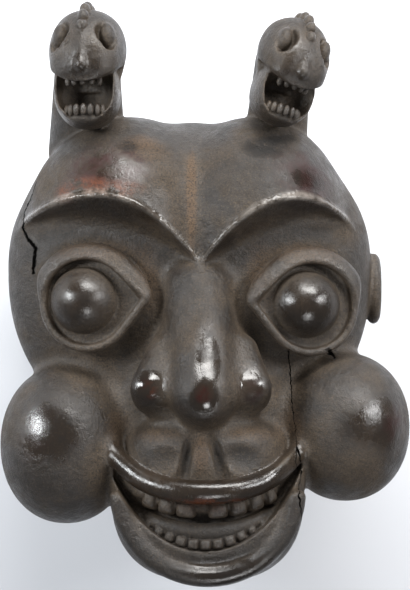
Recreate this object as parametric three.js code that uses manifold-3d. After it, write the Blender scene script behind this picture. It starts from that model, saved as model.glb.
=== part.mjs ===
// A carved helmet mask from the Cameroon grasslands, lying on its back with its face up.
// It is cut from one block of dark wood: a round hollow helmet, a heart-shaped forehead over
// bulging eyes, two ball cheeks, a wide toothed mouth, and two gaping lizards on the crown.
//
// Millimetres. x runs to the viewer's right, y up to the crown, z out of the face.
// The origin is the middle of the box around the mask, on the surface that it lies on.
//
// The block is a form: a function of a point that is negative inside the wood and grows by
// about one for each millimetre outside it. Forms are joined, cut and placed, then turned
// into a closed mesh, thinned to few faces, and dressed with teeth and knobs.

import * as THREE from "three";
import { mergeVertices } from "three/addons/utils/BufferGeometryUtils.js";
import Module from "manifold-3d";

// Driving dimensions. A radius given as a pair is [towards minus, towards plus].

const HELMET = { at: [-8, 20, 150], radii: [[145, 137], [135, 108], [156, 68]], power: 2.3 };
const MUZZLE = { at: [0, -88, 150], radii: [88, 62, 72], power: 2.4 };
const COLLAR = { at: [-8, -60, 110], radii: [124, 150, [116, 90]], power: 2 };
const COLLAR_RIM_Y = -135;
const RIM_TRIM_Z = 122;
// Below this line the collar is cut away. The line rises in front of a height z.
const COLLAR_CUT = { y: COLLAR_RIM_Y - 4, rise: 0.6, z: 104 };

const HOLLOW = { at: [-8, 2, 112], radii: [118, 108, [88, 78]], power: 2.4 };
const FACE_HOLLOW = { at: [0, -75, 150], radii: [92, 70, 34], power: 2.2 };
const NECK_HOLE = { at: [-8, 0, 108], radii: [92, 400, 78], power: 2.2 };

const LOBES = [
  { at: [-58, 52, 165], radii: [80, [82, 85], 80] },
  { at: [38, 52, 165], radii: [[78, 72], [82, 85], 79] },
  { at: [-10, 60, 150], radii: [60, [82, 74], 76] },
];
const LOBE_BLEND = 9;
// Each brow edge is a parabola: its top point, its fall at half a span, and its two half spans.
const BROWS = [
  { top: [-79, 72.5], fall: 48.5, spans: [95, 74] },
  { top: [68, 71], fall: 47, spans: [70, 70] },
];
const BROW_UNDERCUT = 0.6;
const BROW_EDGE_BLEND = 1;
const BROW_BLEND = 8;

const EYES = [
  { at: [-85.5, -6, 210], turn: [0, -13, 0], nose: 1 },
  { at: [76.5, -9, 210], turn: [0, 13, 0], nose: -1 },
];
// Both eyeballs sit a little to the same side of their lids' middle.
const EYEBALL = { at: [-3, 2, 2], radii: [26, 25, 28] };
// The lids follow a drop: a round end of one radius and a corner point towards the nose.
const LID_DROP = { round: 33, corner: [42, 3], point: 2 };
// Over this range of y the lower lid turns into the upper one.
const UPPER_LID_FROM_TO = [-4, 26];
const EYE_DEPTH = 20;
const LOWER_LID = { out: 0.3, radius: 3.3, height: 9 };
const UPPER_LID = { out: 2.5, radius: 9.5, height: 5 };
// The upper lid is cut off at its inner edge and has a thin raised margin there.
const LID_INNER = { lower: -3, upper: -0.3 };
const LID_MARGIN = { out: 1.6, radius: 2.4, height: 13.2 };
const EYE_BED = 6.5;

const NOSE_BRIDGE = { from: [-5, 1, 211], to: [-1, -70, 249], radii: [28, 22.5] };
const NOSE_TIP = { from: [-1, -72, 248], to: [0, -103, 223], radii: [22, 12] };
const NOSE_SKIRT = { from: [-4, -4, 198], to: [-1, -64, 212], radii: [29, 33] };
const NOSE_WINGS = [
  { from: [-33, -42, 226], to: [-40, -68, 238], radii: [10, 14.5] },
  { from: [29, -41, 226], to: [34, -67, 238], radii: [10, 14.5] },
];
// From each wing a rounded edge slopes down to the middle of the nose.
const NOSE_LOWER_EDGES = [
  { from: [-40, -76, 227], to: [0, -105, 222], radii: [12, 12] },
  { from: [35, -75, 227], to: [0, -105, 222], radii: [12, 12] },
];

const CHEEKS = [
  { at: [-105, -113, 185], radii: [50, 60, 57], power: 2.1 },
  { at: [106, -100, 185], radii: [49, 56, 57], power: 2.1 },
];

const LIP_PANEL = { at: [1, -122, 200], radii: [61, [40, 34], 50], power: 2.8 };
const PHILTRUM_GROOVES = [
  { from: [-10, -100, 246.5], to: [-17, -135, 249.5], radii: [3.6, 4.8] },
  { from: [4, -100, 246.5], to: [15, -135, 249.5], radii: [3.6, 4.8] },
];
const PANEL_DISHES = [
  { at: [-37, -119, 253], radii: [21, 13.5, 9.5] },
  { at: [33, -118, 253], radii: [23, 14, 9.5] },
];
const JAW = { at: [2, -142, 210], radii: [72, 71, 46], power: 2.6 };
// The jaw's bowl ends above in a curve that rises towards the mouth's corners.
const JAW_TOP = { y: -144, rise: 0.0075 };
const JAW_RIM = { radius: 7.5, inset: 8, height: 34 };

// Lips, mouth and teeth rise from the middle by bend[0] x^2 + bend[1] x^4, and fall back.
const MOUTH_FALL_BACK = 0.007;
const UPPER_LIP = { y: -142, z: 258, bend: [0.0022, 7.5e-7], ends: [-70, 68], radii: [8.8, 6.5] };
const MOUTH = { half: 70, floor: 239, cornerFloor: 14 };
const MOUTH_TOP = { y: -144, bend: [0.0022, 7.5e-7] };
const MOUTH_BOTTOM = { y: -186, bend: [0.009, 5e-7] };
const GUM = { y: -172, z: 245, bend: [0.0045, 0], ends: [-52, 52], radii: [6, 6] };
// The wood behind each row of teeth, so that the gaps between them stay shallow.
const ROOTS = [
  { y: -153, z: 243, bend: [0.004, 0], ends: [-48, 48], radii: [6, 6] },
  { y: -180, z: 242.5, bend: [0.008, 0], ends: [-50, 50], radii: [5.5, 5.5] },
];

// The upper row has a gap in its middle.
const UPPER_TEETH = [
  { first: -44, y: -155.5, rise: 0.004, length: 15, down: true },
  { first: 2, y: -155.5, rise: 0.004, length: 15, down: true },
];
const LOWER_TEETH = { first: -50, y: -181, rise: 0.008, length: 8.5, down: false };
const UPPER_WIDTHS = [[11, 12, 14], [14, 13, 11, 9]];
const LOWER_WIDTHS = [7, 7, 7, 7, 8, 8, 8, 8, 8, 7, 7, 7];
const TOOTH = { gap: 0.4, depth: 16, z: 244, overlap: 1.12, taper: 0.86, sides: 6 };

const EARS = [
  { at: [-146, 3, 96], side: -1 },
  { at: [132, 5, 142], side: 1 },
];
const EAR = { half: [21, 16], roll: 5, dish: 4, depth: 25 };

const LIZARDS = [
  { at: [-87, 183.5, 212], turn: [-4, -6, 0], size: 1 },
  { at: [65.5, 180, 212], turn: [-2, 20, -16], size: 0.92 },
];
const LIZARD_NECKS = [
  { from: [-89, 180, 190], to: [-92, 112, 148], radii: [24, 30] },
  { from: [59, 176, 188], to: [54, 110, 148], radii: [21, 25] },
];
const SKULL = { at: [0, 4, -2], radii: [27, 25, 30], power: 2.1 };
const SNOUT = { at: [0, -12, 8], radii: [26, 22, 26], power: 2.8 };
const LOWER_JAW = { at: [0, -33, 1], radii: [24.5, 27, 30], power: 2.3 };
const GAPE = { at: [0, -32, 28], radii: [22, 24.5, 34], power: 2.3 };
const TONGUE = { at: [0, -52, 4], radii: [16, 9, 15] };
const PALATE = { y: -21, slope: 0.3, bow: 0.011 };
const LIZARD_SOCKET = { at: [17.5, 5, 25], radii: [8.5, 13, 7] };
const LIZARD_EYE = { at: [17.5, 5, 19.5], radii: [5.5, 9.5, 7] };
const SNOUT_RIDGE = { from: [0, 12, 28], to: [0, -18, 32.5], radii: [2.5, 5.5] };
const CREST = { knobs: 6, size: [4.2, 5.4, 5.4], sweep: [-30, 74], at: [0, 4, -2], reach: [26, 31] };
const LIZARD_TOOTH = { radii: [1.8, 3.3], length: 10, sides: 4 };
const LIZARD_TEETH_ROWS = [
  { count: 7, arc: [14.5, 12], at: [0, -49.5, 9], spread: 64, down: false },
  { count: 5, arc: [15, 13], at: [0, -28, 11], spread: 50, down: true },
];

// How far the mask moves at the end, so that the middle of its box is at x = 0 and y = 0.
const TO_ORIGIN = [-0.1, -3, 0];

// How softly forms run into each other, and how soft a cut edge is.
const SOFT = {
  face: 8, cheeks: 12, nose: 8, wings: 16, noseEdges: 10, eye: 2, lidEdge: 1.5, panelRelief: 2.5,
  jaw: 5, jawRim: 6, mouth: 2, snout: 12, neck: 5, hollow: 12, parts: 3,
};

const GRID_STEP = 3;
const BLOCK = { low: [-168, -226, -12], high: [170, 232, 292] };
const SHORT_EDGE = 0.9;
const FAR_AWAY = 400;
const FACES_OF_BLOCK = 7700;

// Forms: functions of x, y and z.

const pair = (radius) => (Array.isArray(radius) ? radius : [radius, radius]);

// An egg or, with a power above 2, a squarer one. Its two halves may differ along each axis.
function egg({ at, radii, power = 2 }) {
  const [rx, ry, rz] = radii.map(pair);
  return (x, y, z) => {
    const u = Math.abs(x - at[0]) / (x < at[0] ? rx[0] : rx[1]);
    const v = Math.abs(y - at[1]) / (y < at[1] ? ry[0] : ry[1]);
    const w = Math.abs(z - at[2]) / (z < at[2] ? rz[0] : rz[1]);
    const up = u ** power;
    const vp = v ** power;
    const wp = w ** power;
    const size = (up + vp + wp) ** (1 / power) + 1e-9;
    const slope = Math.hypot(
      up / (u + 1e-9) / (x < at[0] ? rx[0] : rx[1]),
      vp / (v + 1e-9) / (y < at[1] ? ry[0] : ry[1]),
      wp / (w + 1e-9) / (z < at[2] ? rz[0] : rz[1]),
    );
    return (size - 1) / (slope * size ** (1 - power) + 1e-4);
  };
}

// The distance to a drop: the hull of two balls (or discs), from one end to the other.
function dropDistance(across, along, length, radiusA, radiusB) {
  const lean = (radiusA - radiusB) / length;
  const upright = Math.sqrt(1 - lean * lean);
  const k = -lean * across + upright * along;
  if (k < 0) return Math.hypot(across, along) - radiusA;
  if (k > upright * length) return Math.hypot(across, along - length) - radiusB;
  return across * upright + along * lean - radiusA;
}

function taper({ from, to, radii }) {
  const a = new THREE.Vector3(...from);
  const axis = new THREE.Vector3(...to).sub(a);
  const length = axis.length();
  axis.normalize();
  const p = new THREE.Vector3();
  return (x, y, z) => {
    p.set(x, y, z).sub(a);
    const along = p.dot(axis);
    const across = Math.sqrt(Math.max(p.lengthSq() - along * along, 0));
    return dropDistance(across, along, length, radii[0], radii[1]);
  };
}

const bendAt = (x, [square, fourth]) => square * x * x + fourth * x ** 4;

// A round roll along a bend of the mouth, with one radius in its middle and one at its ends.
function roll({ y: startY, z: startZ, bend, ends, radii }) {
  const [from, to] = ends;
  const middle = (from + to) / 2;
  return (x, y, z) => {
    let at = THREE.MathUtils.clamp(x, from, to);
    for (let turn = 0; turn < 3; turn++) {
      const dy = 2 * bend[0] * at + 4 * bend[1] * at ** 3;
      const dz = -2 * MOUTH_FALL_BACK * at;
      const offY = y - startY - bendAt(at, bend);
      const offZ = z - startZ + MOUTH_FALL_BACK * at * at;
      const ahead = x - at + offY * dy + offZ * dz;
      at = THREE.MathUtils.clamp(at + ahead / (1 + dy * dy + dz * dz), from, to);
    }
    const offY = y - startY - bendAt(at, bend);
    const offZ = z - startZ + MOUTH_FALL_BACK * at * at;
    const share = (at - middle) / (to - middle);
    return Math.hypot(x - at, offY, offZ) - THREE.MathUtils.lerp(...radii, share * share);
  };
}

function softMin(a, b, soft) {
  const near = Math.max(soft - Math.abs(a - b), 0) / soft;
  return Math.min(a, b) - (near * near * soft) / 4;
}

const join = (soft, ...forms) => (x, y, z) => {
  let all = forms[0](x, y, z);
  for (let i = 1; i < forms.length; i++) all = softMin(all, forms[i](x, y, z), soft);
  return all;
};

const overlap = (soft, a, b) => (x, y, z) => -softMin(-a(x, y, z), -b(x, y, z), soft);

const cut = (soft, wood, tool) => (x, y, z) => -softMin(-wood(x, y, z), tool(x, y, z), soft);

// A thing that is made about its own origin is scaled, turned by degrees, and moved.
function placeMatrix({ at, turn, size = 1 }) {
  const euler = new THREE.Euler(...turn.map(THREE.MathUtils.degToRad), "YXZ");
  const scale = new THREE.Matrix4().makeScale(size, size, size);
  return new THREE.Matrix4().makeRotationFromEuler(euler).multiply(scale).setPosition(...at);
}

function placed(form, place) {
  const m = placeMatrix(place).invert().elements;
  const size = place.size ?? 1;
  return (x, y, z) =>
    size * form(
      m[0] * x + m[4] * y + m[8] * z + m[12],
      m[1] * x + m[5] * y + m[9] * z + m[13],
      m[2] * x + m[6] * y + m[10] * z + m[14],
    );
}

// The forehead: two lobes, cut away below the brow edges so that the underside slopes in.

function browLine(x) {
  const heights = BROWS.map(({ top, fall, spans }) => {
    const share = (x - top[0]) / (x < top[0] ? spans[0] : spans[1]);
    return top[1] - fall * share * share;
  });
  return Math.max(...heights);
}

function forehead() {
  const lobes = join(LOBE_BLEND, ...LOBES.map(egg));
  const steep = Math.hypot(1, BROW_UNDERCUT);
  return (x, y, z) => {
    const lobe = lobes(x, y, z);
    const belowBrow = (browLine(x) - y + BROW_UNDERCUT * lobe) / steep;
    return -softMin(-lobe, -belowBrow, BROW_EDGE_BLEND);
  };
}

// An eye about its own origin: the ball, and a lid roll that is thick above and thin below.

function eye(nose) {
  const ball = egg(EYEBALL);
  const [cornerX, cornerY] = LID_DROP.corner;
  const length = Math.hypot(cornerX, cornerY);
  const axis = [(nose * cornerX) / length, cornerY / length];
  return (x, y, z) => {
    const along = x * axis[0] + y * axis[1];
    const across = Math.abs(y * axis[0] - x * axis[1]);
    const outside = dropDistance(across, along, length, LID_DROP.round, LID_DROP.point);
    const upper = THREE.MathUtils.smoothstep(y, ...UPPER_LID_FROM_TO);
    const between = (key) => THREE.MathUtils.lerp(LOWER_LID[key], UPPER_LID[key], upper);
    const lidRoll = Math.hypot(outside - between("out"), z - between("height")) - between("radius");
    const inner = THREE.MathUtils.lerp(LID_INNER.lower, LID_INNER.upper, upper);
    const lid = -softMin(-lidRoll, outside - inner, SOFT.lidEdge);
    const marginRing = Math.hypot(outside - LID_MARGIN.out, z - LID_MARGIN.height);
    const lids = softMin(lid, marginRing - LID_MARGIN.radius * upper, 1);
    const bed = Math.max(outside, z - EYE_BED, -z - EYE_DEPTH);
    return softMin(softMin(ball(x, y, z), lids, SOFT.eye), bed, SOFT.eye);
  };
}

function nose() {
  const body = join(SOFT.nose, taper(NOSE_BRIDGE), taper(NOSE_TIP), taper(NOSE_SKIRT));
  const winged = join(SOFT.wings, body, ...NOSE_WINGS.map(taper));
  return join(SOFT.noseEdges, winged, ...NOSE_LOWER_EDGES.map(taper));
}

// The mouth: a panel with two grooves and two dishes, a jaw with a rolled rim, and a slot
// between them that holds the upper lip, the gum and the wood behind the teeth.

function mouthSlot() {
  return (x, y, z) => {
    const above = y - MOUTH_TOP.y - bendAt(x, MOUTH_TOP.bend);
    const below = MOUTH_BOTTOM.y + bendAt(x, MOUTH_BOTTOM.bend) - y;
    const beside = Math.abs(x - JAW.at[0]) - MOUTH.half;
    const floor = MOUTH.floor - MOUTH_FALL_BACK * x * x + MOUTH.cornerFloor * (x / MOUTH.half) ** 4;
    return Math.max(above, below, beside, floor - z);
  };
}

function mouth() {
  const relief = join(1, ...PHILTRUM_GROOVES.map(taper), ...PANEL_DISHES.map(egg));
  const panel = cut(SOFT.panelRelief, egg(LIP_PANEL), relief);
  const [rimX, rimY] = JAW.radii.map((radius) => radius - JAW_RIM.inset);
  const rim = (x, y, z) => {
    const across = Math.hypot((x - JAW.at[0]) / rimX, (y - JAW.at[1]) / rimY);
    const ring = (across - 1) * rimY;
    return Math.hypot(ring, z - JAW.at[2] - JAW_RIM.height) - JAW_RIM.radius;
  };
  const lowerHalf = (x, y) => y - JAW.at[1];
  const jawBowl = overlap(SOFT.jaw, egg(JAW), (x, y) => y - JAW_TOP.y - JAW_TOP.rise * x * x);
  const jaw = join(SOFT.jaw, jawBowl, overlap(SOFT.jawRim, rim, lowerHalf));
  const open = cut(SOFT.mouth, join(SOFT.jawRim, panel, jaw), mouthSlot());
  return join(SOFT.mouth, open, roll(UPPER_LIP), roll(GUM), ...ROOTS.map(roll));
}

function ear({ at, side }) {
  const [halfY, halfZ] = EAR.half;
  return (x, y, z) => {
    const across = Math.hypot((y - at[1]) / halfY, (z - at[2]) / halfZ);
    const ring = (across - 1) * halfZ;
    const rim = Math.hypot(ring, x - at[0]) - EAR.roll;
    const outward = (x - at[0]) * side + EAR.dish;
    const plate = Math.max(ring, outward, -outward - EAR.depth);
    return softMin(rim, plate, SOFT.parts);
  };
}

// A lizard about the middle of its skull, looking along z, with its mouth open.

function lizardHead() {
  const palate = (x, y, z) => y - PALATE.y + PALATE.slope * z - PALATE.bow * x * x;
  const gape = overlap(1, egg(GAPE), palate);
  const upper = join(SOFT.snout, egg(SKULL), egg(SNOUT));
  const upperCut = cut(1.5, upper, (x, y, z) => Math.max(palate(x, y, z), -z - 2));
  const lower = cut(1.5, egg(LOWER_JAW), gape);
  const head = join(2, upperCut, lower, taper(SNOUT_RIDGE), egg(TONGUE));
  const socket = egg(LIZARD_SOCKET);
  const eyeball = egg(LIZARD_EYE);
  const mirrored = (form) => (x, y, z) => form(Math.abs(x), y, z);
  return join(1.5, cut(1.5, head, mirrored(socket)), mirrored(eyeball));
}

const lizard = (place, k) => join(SOFT.neck, placed(lizardHead(), place), taper(LIZARD_NECKS[k]));

// The whole block, and the hollow for the head, which is open at the neck.

const neckHole = overlap(1, egg(NECK_HOLE), (x, y) => y);
const hollow = join(SOFT.hollow, egg(HOLLOW), egg(FACE_HOLLOW), neckHole);

function mask() {
  const underCollar = (x, y, z) => COLLAR_CUT.y - y + COLLAR_CUT.rise * Math.max(z - COLLAR_CUT.z, 0);
  const collar = overlap(1, egg(COLLAR), underCollar);
  const helmet = join(SOFT.face, egg(HELMET), collar);
  const eyes = EYES.map((place) => placed(eye(place.nose), place));
  const face = join(SOFT.cheeks, helmet, egg(MUZZLE), ...CHEEKS.map(egg));
  const carved = join(BROW_BLEND, join(SOFT.face, join(SOFT.face, face, mouth()), nose()), forehead());
  const dressed = join(SOFT.parts, carved, ...eyes, ...EARS.map(ear), ...LIZARDS.map(lizard));
  return cut(SOFT.parts, dressed, hollow);
}

// The surface of a form as a closed mesh. Each cell of a grid is split into six tetrahedra,
// which meet along one diagonal, and each tetrahedron gives no, one or two triangles.

const SPLITS = [
  [0, 1, 2], [1, 2, 0], [2, 0, 1], [0, 2, 1], [2, 1, 0], [1, 0, 2],
];
const ONE_IN = [[0, 1, 2, 3], [1, 0, 3, 2], [2, 0, 1, 3], [3, 2, 1, 0]];
const TWO_IN = [[0, 1, 2, 3], [0, 2, 3, 1], [0, 3, 1, 2], [1, 2, 0, 3], [1, 3, 2, 0], [2, 3, 0, 1]];
const BLOCK_CELLS = 4;

// The form's values on the grid. Where the middle of a block of cells is far from the
// surface, the whole block takes the value of its middle.
function gridValues(form, low, counts, step) {
  const [nx, ny, nz] = counts;
  const values = new Float64Array(nx * ny * nz);
  const size = BLOCK_CELLS;
  const far = 1.5 * Math.sqrt(3) * (size / 2) * step;
  for (let bi = 0; bi < nx; bi += size)
    for (let bj = 0; bj < ny; bj += size)
      for (let bk = 0; bk < nz; bk += size) {
        const middle = [bi, bj, bk].map((value, k) => low[k] + (value + (size - 1) / 2) * step);
        const there = form(...middle);
        for (let i = bi; i < Math.min(bi + size, nx); i++)
          for (let j = bj; j < Math.min(bj + size, ny); j++)
            for (let k = bk; k < Math.min(bk + size, nz); k++) {
              const near = Math.abs(there) < far;
              const value = near ? form(low[0] + i * step, low[1] + j * step, low[2] + k * step) : there;
              values[(i * ny + j) * nz + k] = value || 1e-6;
            }
      }
  return values;
}

function surfaceOf(form, { low, high }, step) {
  const counts = low.map((value, k) => Math.ceil((high[k] - value) / step) + 1);
  const [nx, ny, nz] = counts;
  const values = gridValues(form, low, counts, step);
  const strides = [ny * nz, nz, 1];
  const points = [];
  const faces = [];
  const made = new Map();
  const place = (n) => [Math.floor(n / strides[0]), Math.floor(n / nz) % ny, n % nz];
  const cornersOfCell = [0, 1, 2, 3, 4, 5, 6, 7].map(
    (bits) => (bits & 1 ? strides[0] : 0) + (bits & 2 ? strides[1] : 0) + (bits & 4 ? strides[2] : 0),
  );
  const crossing = (a, b) => {
    const key = Math.min(a, b) * 8 + cornersOfCell.indexOf(Math.abs(a - b));
    if (made.has(key)) return made.get(key);
    const share = THREE.MathUtils.clamp(values[a] / (values[a] - values[b]), 0.04, 0.96);
    const [pa, pb] = [place(a), place(b)];
    points.push(pa.map((value, k) => low[k] + step * THREE.MathUtils.lerp(value, pb[k], share)));
    made.set(key, points.length - 1);
    return points.length - 1;
  };
  const add = (flip, a, b, c) => faces.push(flip ? [a, c, b] : [a, b, c]);
  const tetrahedron = (v, odd) => {
    const inside = v.map((n) => values[n] < 0);
    const count = inside.filter(Boolean).length;
    if (count === 0 || count === 4) return;
    if (count === 2) {
      const [i, j, k, l] = TWO_IN.find(([a, b]) => inside[a] && inside[b]);
      const ring = [[i, k], [i, l], [j, l], [j, k]].map(([a, b]) => crossing(v[a], v[b]));
      add(odd, ring[0], ring[1], ring[2]);
      add(odd, ring[0], ring[2], ring[3]);
      return;
    }
    const [i, j, k, l] = ONE_IN[inside.indexOf(count === 1)];
    const corners = [j, k, l].map((other) => crossing(v[i], v[other]));
    add(odd !== (count === 3), ...corners);
  };
  for (let i = 0; i < nx - 1; i++)
    for (let j = 0; j < ny - 1; j++)
      for (let k = 0; k < nz - 1; k++) {
        const n = i * strides[0] + j * strides[1] + k;
        const inside = values[n] < 0;
        if (cornersOfCell.every((corner) => values[n + corner] < 0 === inside)) continue;
        SPLITS.forEach(([a, b, c], split) => {
          const first = n + strides[a];
          const second = first + strides[b];
          tetrahedron([n, first, second, second + strides[c]], split > 2);
        });
      }
  return { points, faces };
}

// Thins a closed mesh to a number of faces. It removes the edge that costs least, where the
// cost is the squared distance from the planes of the faces that the edge stands for.

class Heap {
  items = [];
  push(item) {
    const { items } = this;
    let at = items.push(item) - 1;
    while (at > 0) {
      const up = (at - 1) >> 1;
      if (items[up].cost <= item.cost) break;
      items[at] = items[up];
      at = up;
    }
    items[at] = item;
  }
  pop() {
    const { items } = this;
    const top = items[0];
    const last = items.pop();
    let at = 0;
    while (items.length) {
      let down = 2 * at + 1;
      if (down >= items.length) break;
      if (down + 1 < items.length && items[down + 1].cost < items[down].cost) down++;
      if (items[down].cost >= last.cost) break;
      items[at] = items[down];
      at = down;
    }
    if (items.length) items[at] = last;
    return top;
  }
}

const minus = (a, b) => [a[0] - b[0], a[1] - b[1], a[2] - b[2]];
const dot = (a, b) => a[0] * b[0] + a[1] * b[1] + a[2] * b[2];
const cross = (a, b) => [a[1] * b[2] - a[2] * b[1], a[2] * b[0] - a[0] * b[2], a[0] * b[1] - a[1] * b[0]];
const norm = (a) => Math.sqrt(a[0] * a[0] + a[1] * a[1] + a[2] * a[2]);

const areaVector = ([a, b, c]) => cross(minus(b, a), minus(c, a));

// How full a triangle is: 0.87 where its sides are equal, and near 0 for a sliver.
function fullness([a, b, c]) {
  const longest = Math.max(norm(minus(b, a)), norm(minus(c, b)), norm(minus(a, c)));
  return norm(areaVector([a, b, c])) / (longest * longest + 1e-12);
}

// The squared distance to a face's plane, times its area, as the ten numbers of a quadric.
function planeQuadric(a, b, c) {
  const normal = cross(minus(b, a), minus(c, a));
  const area = norm(normal) || 1e-12;
  const x = normal[0] / area;
  const y = normal[1] / area;
  const z = normal[2] / area;
  const w = -(x * a[0] + y * a[1] + z * a[2]);
  return [x * x, x * y, x * z, x * w, y * y, y * z, y * w, z * z, z * w, w * w].map((q) => q * area);
}

const quadricCost = (q, [x, y, z]) =>
  q[0] * x * x + 2 * q[1] * x * y + 2 * q[2] * x * z + 2 * q[3] * x +
  q[4] * y * y + 2 * q[5] * y * z + 2 * q[6] * y + q[7] * z * z + 2 * q[8] * z + q[9];

// The point that costs least, or the middle of the edge where no point stands out.
function bestPoint(q, a, b) {
  const middle = [(a[0] + b[0]) / 2, (a[1] + b[1]) / 2, (a[2] + b[2]) / 2];
  const xx = q[4] * q[7] - q[5] * q[5];
  const xy = q[2] * q[5] - q[1] * q[7];
  const xz = q[1] * q[5] - q[2] * q[4];
  const whole = q[0] * xx + q[1] * xy + q[2] * xz;
  if (whole < 1e-4 * (q[0] + q[4] + q[7]) ** 3) return middle;
  const yy = q[0] * q[7] - q[2] * q[2];
  const yz = q[1] * q[2] - q[0] * q[5];
  const zz = q[0] * q[4] - q[1] * q[1];
  const best = [
    -(xx * q[3] + xy * q[6] + xz * q[8]) / whole,
    -(xy * q[3] + yy * q[6] + yz * q[8]) / whole,
    -(xz * q[3] + yz * q[6] + zz * q[8]) / whole,
  ];
  const length = norm(minus(a, b));
  return length > SHORT_EDGE && norm(minus(best, middle)) < length ? best : middle;
}

function thinned({ points, faces }, wanted, careAt) {
  const quadrics = points.map(() => new Array(10).fill(0));
  const around = points.map(() => []);
  const changes = new Uint32Array(points.length);
  faces.forEach((face, f) => {
    const corners = face.map((n) => points[n]);
    const care = careAt(...corners[0]);
    const q = planeQuadric(...corners).map((value) => value * care);
    for (const n of face) {
      around[n].push(f);
      for (let k = 0; k < 10; k++) quadrics[n][k] += q[k];
    }
  });
  const neighbours = (n) => {
    const found = new Set();
    for (const f of around[n]) for (const m of faces[f]) if (m !== n) found.add(m);
    return found;
  };
  const heap = new Heap();
  const offer = (a, b) => {
    const q = quadrics[a].map((value, k) => value + quadrics[b][k]);
    const point = bestPoint(q, points[a], points[b]);
    heap.push({ cost: quadricCost(q, point), a, b, q, point, stampA: changes[a], stampB: changes[b] });
  };
  // A face may not turn over, or become more of a sliver, when one of its corners moves.
  const spoils = (moving, other, point) => {
    for (const f of around[moving]) {
      if (faces[f].includes(other)) continue;
      const before = faces[f].map((n) => points[n]);
      const after = faces[f].map((n) => (n === moving ? point : points[n]));
      const [vectorBefore, vectorAfter] = [areaVector(before), areaVector(after)];
      const [fullBefore, fullAfter] = [fullness(before), fullness(after)];
      if (fullAfter < 0.04 && fullAfter < fullBefore) return true;
      if (fullBefore < 0.04) continue;
      if (dot(vectorBefore, vectorAfter) < 0.2 * norm(vectorBefore) * norm(vectorAfter)) return true;
    }
    return false;
  };
  const canMerge = (a, b, point, shared) => {
    if (shared.length !== 2) return false;
    if (norm(minus(points[a], points[b])) < SHORT_EDGE) return true;
    return !spoils(a, b, point) && !spoils(b, a, point);
  };
  const merge = (a, b, point, q, shared) => {
    const closed = around[b].filter((f) => faces[f].includes(a));
    for (const n of [a, ...shared]) around[n] = around[n].filter((f) => !closed.includes(f));
    for (const f of around[b]) {
      if (closed.includes(f)) continue;
      faces[f] = faces[f].map((n) => (n === b ? a : n));
      around[a].push(f);
    }
    for (const f of closed) faces[f] = null;
    around[b] = null;
    points[a] = point;
    quadrics[a] = q;
    changes[a]++;
    neighbours(a).forEach((n) => offer(a, n));
    return closed.length;
  };
  let left = faces.length;
  let before = Infinity;
  while (left > wanted && left < before) {
    before = left;
    points.forEach((_, n) => around[n] && neighbours(n).forEach((m) => m > n && offer(n, m)));
    while (left > wanted && heap.items.length) {
      const { a, b, q, point, stampA, stampB } = heap.pop();
      if (changes[a] !== stampA || changes[b] !== stampB || !around[a] || !around[b]) continue;
      const nearB = neighbours(b);
      const shared = [...neighbours(a)].filter((n) => nearB.has(n));
      if (canMerge(a, b, point, shared)) left -= merge(a, b, point, q, shared);
    }
  }
  return { points, faces: faces.filter(Boolean) };
}

function geometryOf({ points, faces }) {
  const geometry = new THREE.BufferGeometry();
  geometry.setAttribute("position", new THREE.Float32BufferAttribute(points.flat(), 3));
  return geometry.setIndex(faces.flat());
}

// Teeth and knobs: small shapes that are joined to the block.

function toothShape(width, length, depth) {
  const shape = new THREE.CylinderGeometry(0.5, 0.5 * TOOTH.taper, 1, TOOTH.sides, 1);
  return shape.rotateY(Math.PI / TOOTH.sides).scale(width * TOOTH.overlap, length, depth);
}

// A row of teeth along a bend of the mouth.
function teethRow({ first, y, rise, length, down }, widths) {
  let x = first;
  return widths.map((width) => {
    const middle = x + width / 2;
    x += width + TOOTH.gap;
    const tooth = toothShape(width, length, TOOTH.depth);
    if (!down) tooth.rotateX(Math.PI);
    const lean = Math.atan(2 * rise * middle);
    tooth.rotateZ(lean).rotateY(2 * MOUTH_FALL_BACK * middle);
    const back = MOUTH_FALL_BACK * middle * middle;
    return tooth.translate(middle, y + rise * middle * middle, TOOTH.z - back);
  });
}

function lizardDetails(place) {
  const shapes = [];
  const [bottom, top] = CREST.sweep.map(THREE.MathUtils.degToRad);
  for (let i = 0; i < CREST.knobs; i++) {
    const angle = THREE.MathUtils.lerp(bottom, top, i / (CREST.knobs - 1));
    const [reachY, reachZ] = CREST.reach;
    const knob = new THREE.OctahedronGeometry(1, 0).scale(...CREST.size);
    const [x, y, z] = CREST.at;
    knob.translate(x, y + reachY * Math.cos(angle), z + reachZ * Math.sin(angle));
    shapes.push(knob);
  }
  for (const { count, arc, at: middle, spread, down } of LIZARD_TEETH_ROWS) {
    for (let i = 0; i < count; i++) {
      const angle = THREE.MathUtils.degToRad(spread * ((2 * i) / (count - 1) - 1));
      const { radii, length, sides } = LIZARD_TOOTH;
      const tooth = new THREE.CylinderGeometry(...radii, length, sides, 1);
      if (down) tooth.rotateX(Math.PI);
      tooth.translate(
        middle[0] + arc[0] * Math.sin(angle),
        middle[1],
        middle[2] + arc[1] * Math.cos(angle),
      );
      shapes.push(tooth);
    }
  }
  return shapes.map((shape) => shape.applyMatrix4(placeMatrix(place)));
}

// Solids: closed meshes that can be joined and cut.

const wasm = await Module();
wasm.setup();

function solidOf(geometry) {
  const bare = geometry.clone();
  bare.deleteAttribute("normal");
  bare.deleteAttribute("uv");
  const merged = mergeVertices(bare, 1e-4);
  return new wasm.Manifold(
    new wasm.Mesh({
      numProp: 3,
      vertProperties: merged.attributes.position.array,
      triVerts: new Uint32Array(merged.index.array),
    }),
  );
}

function boxBetween(low, high) {
  const size = high.map((value, k) => value - low[k]);
  const middle = high.map((value, k) => (value + low[k]) / 2);
  return solidOf(new THREE.BoxGeometry(...size).translate(...middle));
}

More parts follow.
